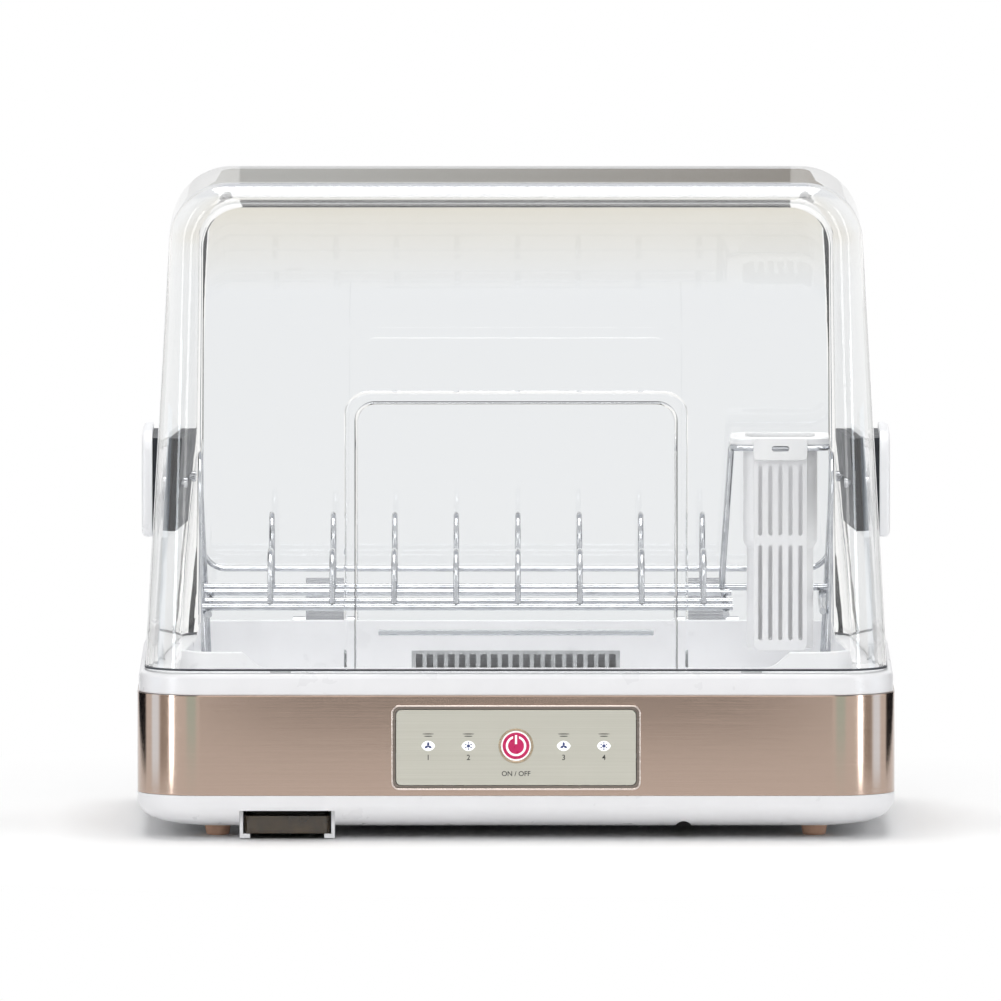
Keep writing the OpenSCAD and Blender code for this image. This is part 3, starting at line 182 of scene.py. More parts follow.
def texture_group(name, stretch, detail):
    group = bpy.data.node_groups.new(name, "ShaderNodeTree")
    for socket, kind in (("Scale", "NodeSocketFloat"), ("Depth", "NodeSocketFloat")):
        group.interface.new_socket(socket, in_out="INPUT", socket_type=kind)
    group.interface.new_socket("Mottle", in_out="OUTPUT", socket_type="NodeSocketFloat")
    group.interface.new_socket("Normal", in_out="OUTPUT", socket_type="NodeSocketVector")
    make, link = group.nodes.new, group.links.new
    given, out = make("NodeGroupInput"), make("NodeGroupOutput")
    place, mapping = make("ShaderNodeTexCoord"), make("ShaderNodeMapping")
    mapping.inputs["Scale"].default_value = stretch
    broad, fine, bump = make("ShaderNodeTexNoise"), make("ShaderNodeTexNoise"), make("ShaderNodeBump")
    faster = make("ShaderNodeMath")
    faster.operation = "MULTIPLY"
    faster.inputs[1].default_value = 7.0
    broad.inputs["Detail"].default_value = detail
    fine.inputs["Detail"].default_value = detail
    bump.inputs["Distance"].default_value = 0.0002
    link(place.outputs["Object"], mapping.inputs["Vector"])
    link(mapping.outputs["Vector"], broad.inputs["Vector"])
    link(mapping.outputs["Vector"], fine.inputs["Vector"])
    link(given.outputs["Scale"], broad.inputs["Scale"])
    link(given.outputs["Scale"], faster.inputs[0])
    link(faster.outputs["Value"], fine.inputs["Scale"])
    link(given.outputs["Depth"], bump.inputs["Strength"])
    link(fine.outputs["Fac"], bump.inputs["Height"])
    link(broad.outputs["Fac"], out.inputs["Mottle"])
    link(bump.outputs["Normal"], out.inputs["Normal"])
    return group


def finish(name, group, scale, depth, dull, bright, rough, **plain):
    material = bpy.data.materials.new(name)
    material.use_nodes = True
    tree = material.node_tree
    make, link = tree.nodes.new, tree.links.new
    shader = tree.nodes["Principled BSDF"]
    pattern = make("ShaderNodeGroup")
    pattern.node_tree = group
    pattern.inputs["Scale"].default_value = scale
    pattern.inputs["Depth"].default_value = depth
    ramp, spread = make("ShaderNodeValToRGB"), make("ShaderNodeMapRange")
    ramp.color_ramp.elements[0].position = 0.3
    ramp.color_ramp.elements[1].position = 0.7
    ramp.color_ramp.elements[0].color = dull
    ramp.color_ramp.elements[1].color = bright
    spread.inputs["From Min"].default_value = 0.3
    spread.inputs["From Max"].default_value = 0.7
    spread.inputs["To Min"].default_value = rough[0]
    spread.inputs["To Max"].default_value = rough[1]
    link(pattern.outputs["Mottle"], ramp.inputs["Fac"])
    link(pattern.outputs["Mottle"], spread.inputs["Value"])
    link(ramp.outputs["Color"], shader.inputs["Base Color"])
    link(spread.outputs["Result"], shader.inputs["Roughness"])
    link(pattern.outputs["Normal"], shader.inputs["Normal"])
    for socket, value in plain.items():
        shader.inputs[socket.replace("_", " ").title()].default_value = value
    return material


moulded = texture_group("moulded surface", (1, 1, 1), 4)
case_white = finish("case white", moulded, 60, 0.03, tone(237, 237, 239), tone(240, 240, 242), (0.27, 0.31))
base_half, base_deep, base_corner = 215, 149, 36
case_top, case_wall = 25.6, 2.5
belly_roll = ((0, 20.6), (0.8, 18), (2.4, 15.4), (4.9, 13), (8.2, 11), (13, 9.2), (20, 7.7), (28, 6.6),
              (36, 6))


def belly(name, wall, top):
    rings = [round_plan(base_half - wall, wall - base_deep, base_deep - wall, base_corner - wall, top)]
    for draw, z in belly_roll:
        reach = draw + wall
        corner = max(base_corner - 0.7 * reach, 8)
        rings.append(round_plan(base_half - reach, reach - base_deep, base_deep - reach, corner, z + wall))
    return skin(name, rings)


slot_left, slot_right, slot_rear, slot_roof = -156.8, -102.8, -24, 17
slot_mid = (slot_left + slot_right) / 2
past_front, past_floor = -160, -5
case_shell = belly("case_shell", 0, case_top)
hollow = belly("hollow", case_wall, case_top + 1.4)
liner_low = (slot_left - case_wall, past_front, past_floor)
liner_high = (slot_right + case_wall, slot_rear + case_wall, slot_roof + case_wall)
combine(hollow, block("liner", liner_low, liner_high))
combine(case_shell, hollow)
combine(case_shell, block("slot", (slot_left, past_front, past_floor), (slot_right, slot_rear, slot_roof)))
notch_x, notch_z, notch_radius = 95, 6, 4.5
combine(case_shell, rod("notch", notch_radius, 110, (notch_x, -110, notch_z), (90, 0, 0), 32))
blower_y, vent_half, vent_reach, vent_pitch = 33, 2, 28, 11
vent = block("vent", (-vent_half, blower_y - vent_reach, 0), (vent_half, blower_y + vent_reach, 12))
vents = [vent] + [copied(vent, (vent_pitch * place, 0, 0)) for place in (-3, -2, -1, 1, 2, 3)]
combine(case_shell, together("vents", vents))
settle(case_shell, case_white, "base", "white_plastic", "bottom_case")

# Feet
# Four beige rubber pads, moulded with a slight taper and a rounded tread. Each is glued in place on
# the flat of the case's underside.
foot_rubber = finish("foot rubber", moulded, 240, 0.25, tone(222, 176, 148), tone(234, 190, 162), (0.5, 0.7))
foot_x, foot_y, foot_radius, foot_high = 169.5, 102, 7.5, 6
foot = rod("rubber_feet", foot_radius, foot_high, (foot_x, foot_y, foot_high / 2), sides=32)
bpy.ops.object.mode_set(mode="EDIT")
pick("FACE", lambda f: f.normal.z < -0.9)
bpy.ops.transform.resize(value=(0.86, 0.86, 1), center_override=Vector((foot_x, foot_y, 0)) * mm)
bpy.ops.mesh.bevel(offset=1.1 * mm, segments=3, affect="EDGES")
bpy.ops.object.mode_set(mode="OBJECT")
feet = [foot]
for move in ((-2 * foot_x, 0, 0), (0, -2 * foot_y, 0), (-2 * foot_x, -2 * foot_y, 0)):
    feet.append(copied(foot, move))
settle(together("rubber_feet", feet), foot_rubber, "base", "foot_rubber", "feet")

# Drip tray rails
# Two white L-shaped runners that hang from the slot's roof, welded to the case. Their feet turn
# inwards and carry the tray.
rail_front, rail_low, rail_wall, rail_foot, rail_reach = -138, 0.6, 2, 3.2, 4
rail = block("tray_rails", (slot_left, rail_front, rail_low), (slot_left + rail_wall, slot_rear, slot_roof))
bpy.ops.object.mode_set(mode="EDIT")
bpy.ops.mesh.bisect(plane_co=(0, 0, rail_foot * mm), plane_no=(0, 0, 1))
pick("FACE", lambda f: f.normal.x > 0.9 and f.calc_center_median().z < rail_foot * mm)
bpy.ops.mesh.extrude_region_move(TRANSFORM_OT_translate={"value": (rail_reach * mm, 0, 0)})
bpy.ops.object.mode_set(mode="OBJECT")
soften(rail, 0.35)
twin = copied(rail, (0, 0, 0))
bpy.ops.object.mode_set(mode="EDIT")
bpy.ops.mesh.select_all(action="SELECT")
bpy.ops.transform.resize(value=(-1, 1, 1), center_override=Vector((slot_mid, 0, 0)) * mm)
bpy.ops.mesh.normals_make_consistent(inside=False)
bpy.ops.object.mode_set(mode="OBJECT")
settle(together("tray_rails", [rail, twin]), case_white, "base", "white_plastic", "drip_rails")

# Drip tray
# A shallow smoked-brown dish that slides out on the rails and is emptied by hand. Its front is rounded
# off below and has a straight upper edge to pull it by.
smoked = finish("smoked plastic", moulded, 90, 0.05, tone(44, 33, 18), tone(66, 51, 30), (0.16, 0.26),
                coat_weight=0.4)
tray_low, tray_high = (-154.4, -137, 3.3), (-105.2, -29, 13.3)
tray_corner, tray_wall, tray_depth, tray_roll = 4, 1.6, 8.4, 5.2


def low_front(corner):
    return corner.co.z < (tray_low[2] + 0.1) * mm and corner.co.y < (tray_low[1] + 0.1) * mm


tray = block("smoked_tray", tray_low, tray_high)
bpy.ops.object.mode_set(mode="EDIT")
pick("EDGE", lambda e: abs(e.verts[0].co.z - e.verts[1].co.z) > mm)
bpy.ops.mesh.bevel(offset=tray_corner * mm, segments=5, affect="EDGES")
pick("FACE", lambda f: f.normal.z > 0.9)
bpy.ops.mesh.inset(thickness=tray_wall * mm)
bpy.ops.mesh.extrude_region_move(TRANSFORM_OT_translate={"value": (0, 0, -tray_depth * mm)})
pick("EDGE", lambda e: low_front(e.verts[0]) and low_front(e.verts[1]) and e.calc_length() > 20 * mm)
bpy.ops.mesh.bevel(offset=tray_roll * mm, segments=5, affect="EDGES")
bpy.ops.object.mode_set(mode="OBJECT")
soften(tray, 0.4)
settle(tray, smoked, "tray", "smoked_plastic", "drip_tray")

# Steel band
# Brushed bronze-tinted stainless sheet, bent round the base and butted at the rear. It stands on the
# case's skirt and carries the rim; a window in the front takes the control panel.
brushed = texture_group("brushed lines", (0.02, 0.02, 9), 3)
bronze = finish("brushed bronze steel", brushed, 300, 0.03, tone(178, 157, 143), tone(183, 162, 148),
                (0.1, 0.14), metallic=1.0, anisotropic=0.5)


def front_slab(name, width, height, radius, y_low, y_high, mid_x, mid_z, steps=8):
    low = (mid_x - width / 2, y_low, mid_z - height / 2)
    high = (mid_x + width / 2, y_high, mid_z + height / 2)
    piece = block(name, low, high)
    bpy.ops.object.mode_set(mode="EDIT")
    pick("EDGE", lambda e: abs(e.verts[0].co.y - e.verts[1].co.y) > 0.01 * mm)
    bpy.ops.mesh.bevel(offset=radius * mm, segments=steps, affect="EDGES")
    bpy.ops.object.mode_set(mode="OBJECT")
    return piece


band_low, band_high, band_hem, sheet_thick = 25.7, 82.6, 0.5, 1.2
band_levels = (band_low, band_low + band_hem, band_high - band_hem, band_high)
band_rings = [round_plan(base_half, -base_deep, base_deep, base_corner, z, steps=16) for z in band_levels]
band = skin("bronze_band", band_rings, capped=False)
sheet = band.modifiers.new("sheet", "SOLIDIFY")
sheet.thickness = sheet_thick * mm
sheet.offset = -1
bpy.ops.object.modifier_apply(modifier=sheet.name)
soften(band, 0.25)
panel_z, window_size = 53.1, (137.1, 43.9, 3.35)
combine(band, front_slab("window", *window_size, past_front, -140, 0, panel_z))
gland_x, gland_z, gland_radius = 139, 39.85, 8
combine(band, rod("gland hole", gland_radius, 20, (gland_x, base_deep, gland_z), (90, 0, 0)))
settle(band, bronze, "base", "bronze_steel", "steel_band")

# Deck rim
# A white moulded frame that caps the band, with a soft outer edge. It clips over the sheet and has a
# wide opening that the pan comes up through.
rim_half, rim_deep, rim_corner, rim_wall = 214.2, 148.2, 35.2, 3
rim_top, rim_under = 95.4, 92.4
pan_half, pan_front, pan_rear, pan_corner = 192, -132, 112, 26
rim_edge = ((0.5, band_high), (0, 83.1), (0, 91.6), (0.35, 93.1), (1.2, 94.4), (2.5, 95.15), (4, rim_top))


def rim_plan(inset, z):
    return round_plan(rim_half - inset, inset - rim_deep, rim_deep - inset, rim_corner - inset, z)


def pan_plan(out, z):
    return round_plan(pan_half + out, pan_front - out, pan_rear + out, pan_corner + out, z)


rim_rings = [rim_plan(inset, z) for inset, z in rim_edge]
rim_rings += [pan_plan(out, z) for out, z in ((0.4, rim_top), (0.1, rim_top - 0.3), (0.1, rim_under))]
rim_rings += [rim_plan(rim_wall, z) for z in (rim_under, band_high)]
rim = skin("white_rim", rim_rings, capped=False, looped=True)
settle(rim, case_white, "base", "white_plastic", "deck_rim")

# Draining pan
# The white tub under the rack, moulded with a raised wall that drops low along the front. It hangs
# from the rim on two side ledges, drains at the front left and takes warm air through its rear wall.
pan_wall = 3
outer_wall = ((-7, 67), (-3.2, 67.8), (-0.9, 70.2), (0, 74), (0, 104.8), (-0.4, 105.6), (-1.2, 106))
inner_wall = ((-7, 70), (-3.2, 70.8), (-0.9, 73.2), (0, 77), (0, 104.8), (0.4, 105.6), (1.2, 106), (1.2, 108))
pan = skin("white_pan", [pan_plan(out, z) for out, z in outer_wall])
pan_inside = skin("inside", [pan_plan(out - pan_wall, z) for out, z in inner_wall])
combine(pan, pan_inside)
dip_half, dip_low, dip_high = 145, 97, 108
dip = block("dip", (-dip_half, -140, dip_low), (dip_half, -106, dip_high))
bpy.ops.object.mode_set(mode="EDIT")
pick("FACE", lambda f: f.normal.z > 0.9)
bpy.ops.transform.resize(value=(1.09, 1, 1), center_override=(0, 0, 0))
pick("EDGE", lambda e: abs(e.verts[0].co.x) > 0.1 and e.calc_length() > 20 * mm)
bpy.ops.mesh.bevel(offset=3 * mm, segments=4, affect="EDGES")
bpy.ops.object.mode_set(mode="OBJECT")
combine(pan, dip)
drain_radius, drain_y = 6, -105
combine(pan, rod("drain", drain_radius, 20, (slot_mid, drain_y, 70)))
outlet_half, outlet_low, outlet_high = 60, 74.4, 88.4
combine(pan, block("outlet", (-outlet_half, 100, outlet_low), (outlet_half, 120, outlet_high)))
# A whiter copy of the case white, to make up for the light the lid holds back: painted light.
pan_white_brightened = finish("pan white brightened", moulded, 60, 0.03, tone(246, 246, 248), tone(249, 249, 251), (0.27, 0.31))
settle(pan, pan_white_brightened, "base", "white_plastic", "draining_pan")

# Control panel: face plate and bezel
# A champagne-coloured, finely brushed metal plate in a bright plated frame. The frame snaps into the
# band's window, and the plate is held behind it.
champagne = finish("champagne face", brushed, 420, 0.05, tone(196, 194, 182), tone(205, 203, 192),
                   (0.3, 0.38), metallic=0.6)
bright_trim = finish("bright trim", brushed, 200, 0.05, tone(196, 180, 172), tone(228, 216, 208),
                     (0.12, 0.2), metallic=1.0)
# A darker copy of the bright trim for the groove inside the frame: painted shade in the recess.
groove_painted_shade = finish("bezel groove shade", brushed, 200, 0.05, tone(116, 107, 100), tone(136, 127, 119),
                      (0.3, 0.4), metallic=1.0)
lamp_places = (-49.8, -27, 27, 49.8)
button_z, ring_radius = 54.1, 9.95
plate_size = (136, 42.8, 2.9)
bezel_size = (141.5, 48.3, 4.5)
lip_size = (139.5, 46.3, 3.8)
groove_size = (136.6, 43.4, 3.2)
plate_face, plate_back = -149.5, -147
bezel_face, bezel_back, groove_face, past_bezel = -150, -149, -149.6, -152
plate = front_slab("champagne_plate", *plate_size, plate_face, plate_back, 0, panel_z)
soften(plate, 0.25, 2, 60)
combine(plate, rod("ring hole", ring_radius, 10, (0, -148, button_z), (90, 0, 0), 64))
settle(plate, champagne, "base", "champagne_face", "face_plate")
bezel = front_slab("bright_bezel", *bezel_size, bezel_face, bezel_back, 0, panel_z)
combine(bezel, front_slab("bezel window", *lip_size, past_bezel, plate_back, 0, panel_z))
soften(bezel, 0.4, 3, 60)
settle(bezel, bright_trim, "base", "bright_trim", "face_bezel")
# The groove ring is set back in the frame and wears the darker trim colour: painted shade.
groove = front_slab("bezel_groove", *lip_size, groove_face, bezel_back, 0, panel_z)
combine(groove, front_slab("groove window", *groove_size, past_bezel, plate_back, 0, panel_z))
soften(groove, 0.15, 2, 60)
settle(groove, groove_painted_shade, "base", "bright_trim")

# Button ring and light
# A turned metal ring pressed into the plate, with a milky light guide just inside it that glows round
# the button.
milky = finish("milky lens", moulded, 300, 0.03, tone(238, 240, 244), tone(250, 251, 252), (0.2, 0.28),
               emission_color=(1, 1, 1, 1), emission_strength=0.35)


def tube(name, inner, outer, y_low, y_high):
    bpy.ops.object.select_all(action="DESELECT")
    bpy.ops.mesh.primitive_circle_add(vertices=64, radius=outer * mm, rotation=(math.pi / 2, 0, 0),
                                      location=(0, y_high * mm, button_z * mm))
    piece = bpy.context.object
    piece.name = name
    bpy.ops.object.transform_apply(location=True, rotation=True, scale=True)
    bpy.ops.object.mode_set(mode="EDIT")
    bpy.ops.mesh.select_all(action="SELECT")
    bpy.ops.mesh.extrude_region_move(TRANSFORM_OT_translate={"value": (0, (y_low - y_high) * mm, 0)})
    bpy.ops.mesh.select_all(action="SELECT")
    bpy.ops.mesh.normals_make_consistent(inside=False)
    bpy.ops.object.mode_set(mode="OBJECT")
    wall = piece.modifiers.new("wall", "SOLIDIFY")
    wall.thickness = (outer - inner) * mm
    wall.offset = -1
    bpy.ops.object.modifier_apply(modifier=wall.name)
    return piece


ring = tube("metal_ring", 8.55, ring_radius, bezel_face, plate_back)
soften(ring, 0.45, 3)
ring_metal = finish("turned ring metal", brushed, 300, 0.04, tone(168, 152, 130), tone(188, 172, 150),
                    (0.2, 0.3), metallic=1.0)
settle(ring, ring_metal, "base", "bright_trim", "button_ring")
glow = tube("light_ring", 7.65, 8.45, -149.7, plate_back)
soften(glow, 0.2)
settle(glow, milky, "base", "lamp_lens", "button_light")

# Indicators
# Four milky windows pushed through the plate from behind, each with a small printed pictogram, and the
# plate's own print: dashes, figures and the switch's words. The diodes sit on the control board.
eye_half, eye_high, eye_pinch = 3.9, 2.9, 1.35
window_face, window_back = -149.85, -146


def eye_outline(place, y):
    outline = []
    for step in range(48):
        turn = math.radians(7.5 * step)
        rise = math.copysign(eye_high * abs(math.sin(turn)) ** eye_pinch, math.sin(turn))
        outline.append(Vector((place + eye_half * math.cos(turn), y, button_z + rise)) * mm)
    return outline


windows = []
for place in lamp_places:
    window = skin("window", [eye_outline(place, y) for y in (window_face, window_back)])
    soften(window, 0.3, 3, 60)
    windows.append(window)
settle(together("milky_windows", windows), milky, "base", "lamp_lens", "indicator_lenses")
print_blue = finish("printed mark", moulded, 500, 0.05, tone(52, 62, 112), tone(66, 78, 130), (0.5, 0.6))


def printed(name, strokes, ink, y, slot):
    marks = []
    for x, z, width, height, lean in strokes:
        bpy.ops.object.select_all(action="DESELECT")
        bpy.ops.mesh.primitive_cylinder_add(vertices=24, radius=0.5 * mm, depth=0.06 * mm,
                                            location=Vector((x, y, z)) * mm, rotation=(math.pi / 2, 0, 0))
        mark = bpy.context.object
        bpy.ops.object.transform_apply(location=False, rotation=True, scale=False)
        mark.scale = (width, 1, height)
        mark.rotation_euler = (0, math.radians(lean), 0)
        bpy.ops.object.transform_apply(location=True, rotation=True, scale=True)
        marks.append(mark)
    settle(together(name, marks), ink, "base", slot)


blade_away, ray_away = 1.1, 1.75
window_print, plate_print = -149.86, -149.52
marks = []
for place in lamp_places[::2]:
    for turn in (0, 120, 240):
        away = math.radians(turn)
        x, z = place + blade_away * math.sin(away), button_z + blade_away * math.cos(away)
        marks.append((x, z, 1.3, 2.1, turn))
for place in lamp_places[1::2]:
    marks.append((place, button_z, 1.9, 1.9, 0))
    for turn in range(0, 360, 60):
        away = math.radians(turn)
        x, z = place + ray_away * math.sin(away), button_z + ray_away * math.cos(away)
        marks.append((x, z, 0.7, 1.0, turn))
printed("lamp_marks", marks, print_blue, window_print, "lamp_lens")
print_grey = finish("printed grey", moulded, 500, 0.05, tone(40, 38, 36), tone(52, 50, 47), (0.5, 0.6))
dashes = [(place, z, width, 0.55, 0) for place in lamp_places for z, width in ((60.9, 6.6), (59.6, 4.8))]
printed("panel_dashes", dashes, print_grey, plate_print, "champagne_face")
figures = [(place, 47.4, 3.2, digit) for place, digit in zip(lamp_places, "1234")]
figures.append((0, 38.2, 2.9, "ON / OFF"))
words = []
for place, level, high, word in figures:
    bpy.ops.object.select_all(action="DESELECT")
    bpy.ops.object.text_add(rotation=(math.pi / 2, 0, 0), location=Vector((place, plate_print, level)) * mm)
    lettering = bpy.context.object
    lettering.data.body = word
    lettering.data.align_x, lettering.data.align_y = "CENTER", "CENTER"
    lettering.data.size = high * 1.35 * mm
    lettering.data.extrude = 0.03 * mm
    lettering.data.offset = 0.04 * mm
    bpy.ops.object.convert(target="MESH")
    bpy.ops.object.transform_apply(location=True, rotation=True, scale=True)
    words.append(lettering)
settle(together("panel_figures", words), print_grey, "base", "champagne_face")

# Power button
# A magenta cap with a soft edge and a white power sign moulded into its face. A stem behind it works
# the switch on the board, and a flange keeps it from coming out.
# The cap is given a faint glow of its own colour: painted light.
magenta = finish("magenta cap", moulded, 200, 0.03, tone(184, 0, 80), tone(196, 4, 92), (0.24, 0.34),
                 coat_weight=0.15, emission_color=tone(214, 10, 104), emission_strength=0.1)
# The power sign is given a faint glow: painted light.
sign_painted_glow = finish("sign white", moulded, 300, 0.03, tone(244, 236, 242), tone(252, 248, 250), (0.25, 0.35),
                    emission_color=(1, 0.92, 0.96, 1), emission_strength=0.3)
cap = rod("magenta_cap", 7.6, 2.9, (0, -148.35, button_z), (90, 0, 0), 64)
bpy.ops.object.mode_set(mode="EDIT")
pick("FACE", lambda f: f.normal.y < -0.9)
bpy.ops.mesh.bevel(offset=0.7 * mm, segments=4, affect="EDGES")
bpy.ops.object.mode_set(mode="OBJECT")
flange = rod("flange", 8.4, 1, (0, -146.4, button_z), (90, 0, 0), 64)
stem = rod("stem", 2.5, 4, (0, -144.4, button_z), (90, 0, 0), 32)
settle(together("magenta_cap", [cap, flange, stem]), magenta, "button", "magenta_button", "power_button")


def dress(material, *names):
    for name in names:
        for place in nodes[name].material_slots:
            place.material = material


dress(sign_painted_glow, "power_symbol")

# Works inside the base
# Control board, power board with its transformer, the blower with its motor and wheel, the heater in
# its duct, the riser and the drain spout. All are screwed or clipped to the case and the pan.
board_green = finish("circuit board", moulded, 500, 0.1, tone(20, 84, 52), tone(34, 110, 68), (0.35, 0.5))
dark_plastic = finish("dark plastic", moulded, 150, 0.12, tone(17, 20, 27), tone(28, 33, 42), (0.3, 0.45))
inner_grey = finish("inner grey plastic", moulded, 120, 0.1, tone(168, 170, 172), tone(190, 192, 194),
                    (0.4, 0.55))
plated = finish("plated steel", brushed, 150, 0.06, tone(178, 180, 184), tone(206, 208, 212),
                (0.18, 0.3), metallic=1.0)
heater_metal = finish("heater fins", brushed, 400, 0.2, tone(150, 146, 140), tone(186, 182, 176),
                      (0.3, 0.45), metallic=1.0)
duct_metal = finish("duct sheet", brushed, 200, 0.1, tone(160, 163, 168), tone(188, 190, 194),
                    (0.3, 0.42), metallic=1.0)
soft_pad = finish("soft pad", moulded, 260, 0.2, tone(196, 198, 200), tone(214, 216, 218), (0.55, 0.7))
dress(board_green, "control_board", "power_board")
dress(dark_plastic, "tact_switch", "transformer", "board_parts", "fan_motor", "fan_wheel", "cord_gland",
      "blower_housing", "blower_cover", "thermal_cutout", "grip_backings", "grip_spacers")
dress(milky, "indicator_leds")
dress(inner_grey, "drain_spout", "outlet_grille")
dress(plated, "fan_shaft", "case_screws", "hinge_brackets", "hinge_pins", "bracket_screws", "lid_leaves",
      "leaf_screws", "grip_screws")
dress(heater_metal, "ptc_heater")
dress(duct_metal, "heater_duct", "riser_duct")
dress(soft_pad, "lid_bumpers")

# Wire rack
# Chrome-plated steel wire, bent and spot-welded: two end loops, long rails, two rows of dividers, a
# stop at the rear and a hanger for the caddy. White rubber caps keep it off the pan.
chrome = finish("chrome wire", moulded, 120, 0.03, tone(172, 175, 180), tone(196, 199, 204),
                (0.04, 0.12), metallic=1.0)
cap_white = finish("cap rubber", moulded, 260, 0.15, tone(226, 226, 226), tone(238, 238, 238), (0.45, 0.6))
dress(chrome, "rack_loop_left", "rack_loop_right", "rack_end_bars", "rack_rails", "rear_dividers",
      "front_dividers", "plate_stop", "caddy_hanger")
dress(cap_white, "rack_feet")

# Utensil caddy
# A white polypropylene cup with a wide flange that rests on the wire hanger. Its upper part is a
# little wider, a front tongue has two rows of drain slots, and a lip hooks over the front wire.
caddy_white = finish("caddy white", moulded, 90, 0.06, tone(248, 248, 250), tone(251, 251, 252), (0.32, 0.38))
caddy_low, caddy_high = (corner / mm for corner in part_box("utensil_caddy"))
caddy_x, caddy_y = (caddy_low.x + caddy_high.x) / 2, 35
foot_z, brim_z, hook_y = caddy_low.z, caddy_high.z, caddy_low.y
waist_z, flange_z = foot_z + 61.4, brim_z - 4.4
tongue_half, tongue_face, tongue_top = 15.5, 14.2, flange_z + 1
hook_low, bridge_half, drain_pitch = flange_z - 8.3, tongue_half - 2, 5.75


def cup_ring(half, deep, radius, z):
    return round_plan(half, caddy_y - deep, caddy_y + deep, radius, z, caddy_x, 8)


cup_outside = (
    (16.5, 14.5, 6, foot_z), (18.6, 16.6, 7.5, foot_z + 1), (19, 17, 8, foot_z + 3),
    (19, 17, 8, waist_z - 3.5), (19.4, 17.3, 8, waist_z - 2), (20.8, 18.7, 8.5, waist_z),
    (21.2, 19.2, 9, waist_z + 2), (21.2, 19.2, 9, flange_z - 1), (22, 20, 9.5, flange_z),
    (28.2, 24.2, 11, flange_z), (28.7, 24.7, 11.5, flange_z + 0.6), (28.7, 24.7, 11.5, brim_z - 0.8),
    (28, 24, 11, brim_z))
cup_inside = (
    (14.5, 12.5, 5, foot_z + 2), (17, 15, 6, foot_z + 4), (17, 15, 6, waist_z - 2),
    (19.2, 17.2, 7, waist_z + 2), (19.2, 17.2, 7, brim_z - 2), (20.4, 18.4, 8, brim_z + 1))
cup = skin("white_caddy", [cup_ring(*ring) for ring in cup_outside])
tongue = front_slab("tongue", 2 * tongue_half, tongue_top - foot_z, 4, tongue_face, 21.5, caddy_x,
                    (tongue_top + foot_z) / 2)
hook = front_slab("hook", 2 * tongue_half, brim_z - hook_low, 2.5, hook_y, hook_y + 2, caddy_x,
                  (brim_z + hook_low) / 2)
bridge = block("bridge", (caddy_x - bridge_half, hook_y + 0.8, flange_z),
               (caddy_x + bridge_half, 20, brim_z - 0.3))
for addition in (tongue, hook):
    soften(addition, 0.6)
for addition in (tongue, hook, bridge):
    combine(cup, addition, "UNION")
combine(cup, skin("inside", [cup_ring(*ring) for ring in cup_inside]))
slots = []
for low, high in ((foot_z + 6, waist_z - 1), (waist_z + 4.6, flange_z - 12)):
    first = front_slab("drain", 2.4, high - low, 1.15, 5, 24, caddy_x - 2 * drain_pitch, (low + high) / 2, 4)
    slots += [first] + [copied(first, (drain_pitch * step, 0, 0)) for step in range(1, 5)]
combine(cup, together("drains", slots))
combine(cup, front_slab("peep", 10, 3.2, 1.55, hook_y - 2, 11, caddy_x, flange_z - 1.7, 6))
settle(cup, caddy_white, "caddy", "caddy_plastic", "utensil_caddy")

# Lid
# One clear shell, injection-moulded in PET, with drafted walls, a round rear and a softly filleted front
# that carries a raised panel. It swings on two rear hinges and comes down on the rim.


def clear_finish(name, tint, roughness, shade):
    material = bpy.data.materials.new(name)
    material.use_nodes = True
    tree = material.node_tree
    make, link = tree.nodes.new, tree.links.new
    shader = tree.nodes["Principled BSDF"]
    shader.inputs["Base Color"].default_value = tint
    shader.inputs["Transmission Weight"].default_value = 1.0
    shader.inputs["IOR"].default_value = 1.46
    pattern, spread = make("ShaderNodeGroup"), make("ShaderNodeMapRange")
    pattern.node_tree = moulded
    pattern.inputs["Scale"].default_value = 30
    pattern.inputs["Depth"].default_value = 0.004
    spread.inputs["To Min"].default_value = roughness[0]
    spread.inputs["To Max"].default_value = roughness[1]
    path, passing = make("ShaderNodeLightPath"), make("ShaderNodeMath")
    mix, through = make("ShaderNodeMixShader"), make("ShaderNodeBsdfTransparent")
    passing.operation = "MAXIMUM"
    through.inputs["Color"].default_value = shade
    link(pattern.outputs["Mottle"], spread.inputs["Value"])
    link(spread.outputs["Result"], shader.inputs["Roughness"])
    link(pattern.outputs["Normal"], shader.inputs["Normal"])
    link(path.outputs["Is Shadow Ray"], passing.inputs[0])
    link(path.outputs["Is Diffuse Ray"], passing.inputs[1])
    link(passing.outputs["Value"], mix.inputs["Fac"])
    link(shader.outputs["BSDF"], mix.inputs[1])
    link(through.outputs["BSDF"], mix.inputs[2])
    link(mix.outputs["Shader"], tree.nodes["Material Output"].inputs["Surface"])
    return material


clear = clear_finish("clear lid", (0.985, 0.984, 0.978, 1), (0.0, 0.02), (0.975, 0.98, 0.98, 1))
smoke_clear = clear_finish("clear ledge", (0.6, 0.62, 0.64, 1), (0.02, 0.06), (0.6, 0.62, 0.64, 1))
lid_foot, lid_top, lid_wall = 96.2, 372.0, 2.8
lid_half, lid_front, lid_rear = 210.5, -146.0, 138.0
lid_draft = math.radians(3.2)
lean = math.tan(lid_draft)
shoulder, rear_arc, foot_corner = 34.0, 100.0, 29.5
tube_path = rear_arc - shoulder
shoulder_z, arc_z, arc_y = lid_top - shoulder, lid_top - rear_arc, lid_rear - rear_arc
face_half, face_corner, face_top = 181.0, 23.0, 361.0
roll_in, roll_down = 4, 2.4
raised_half, raised_high, raised_corner, raised_inset = 97.5, 159, 14, 6


def side_x(z):
    return lid_half - lean * (z - lid_foot)


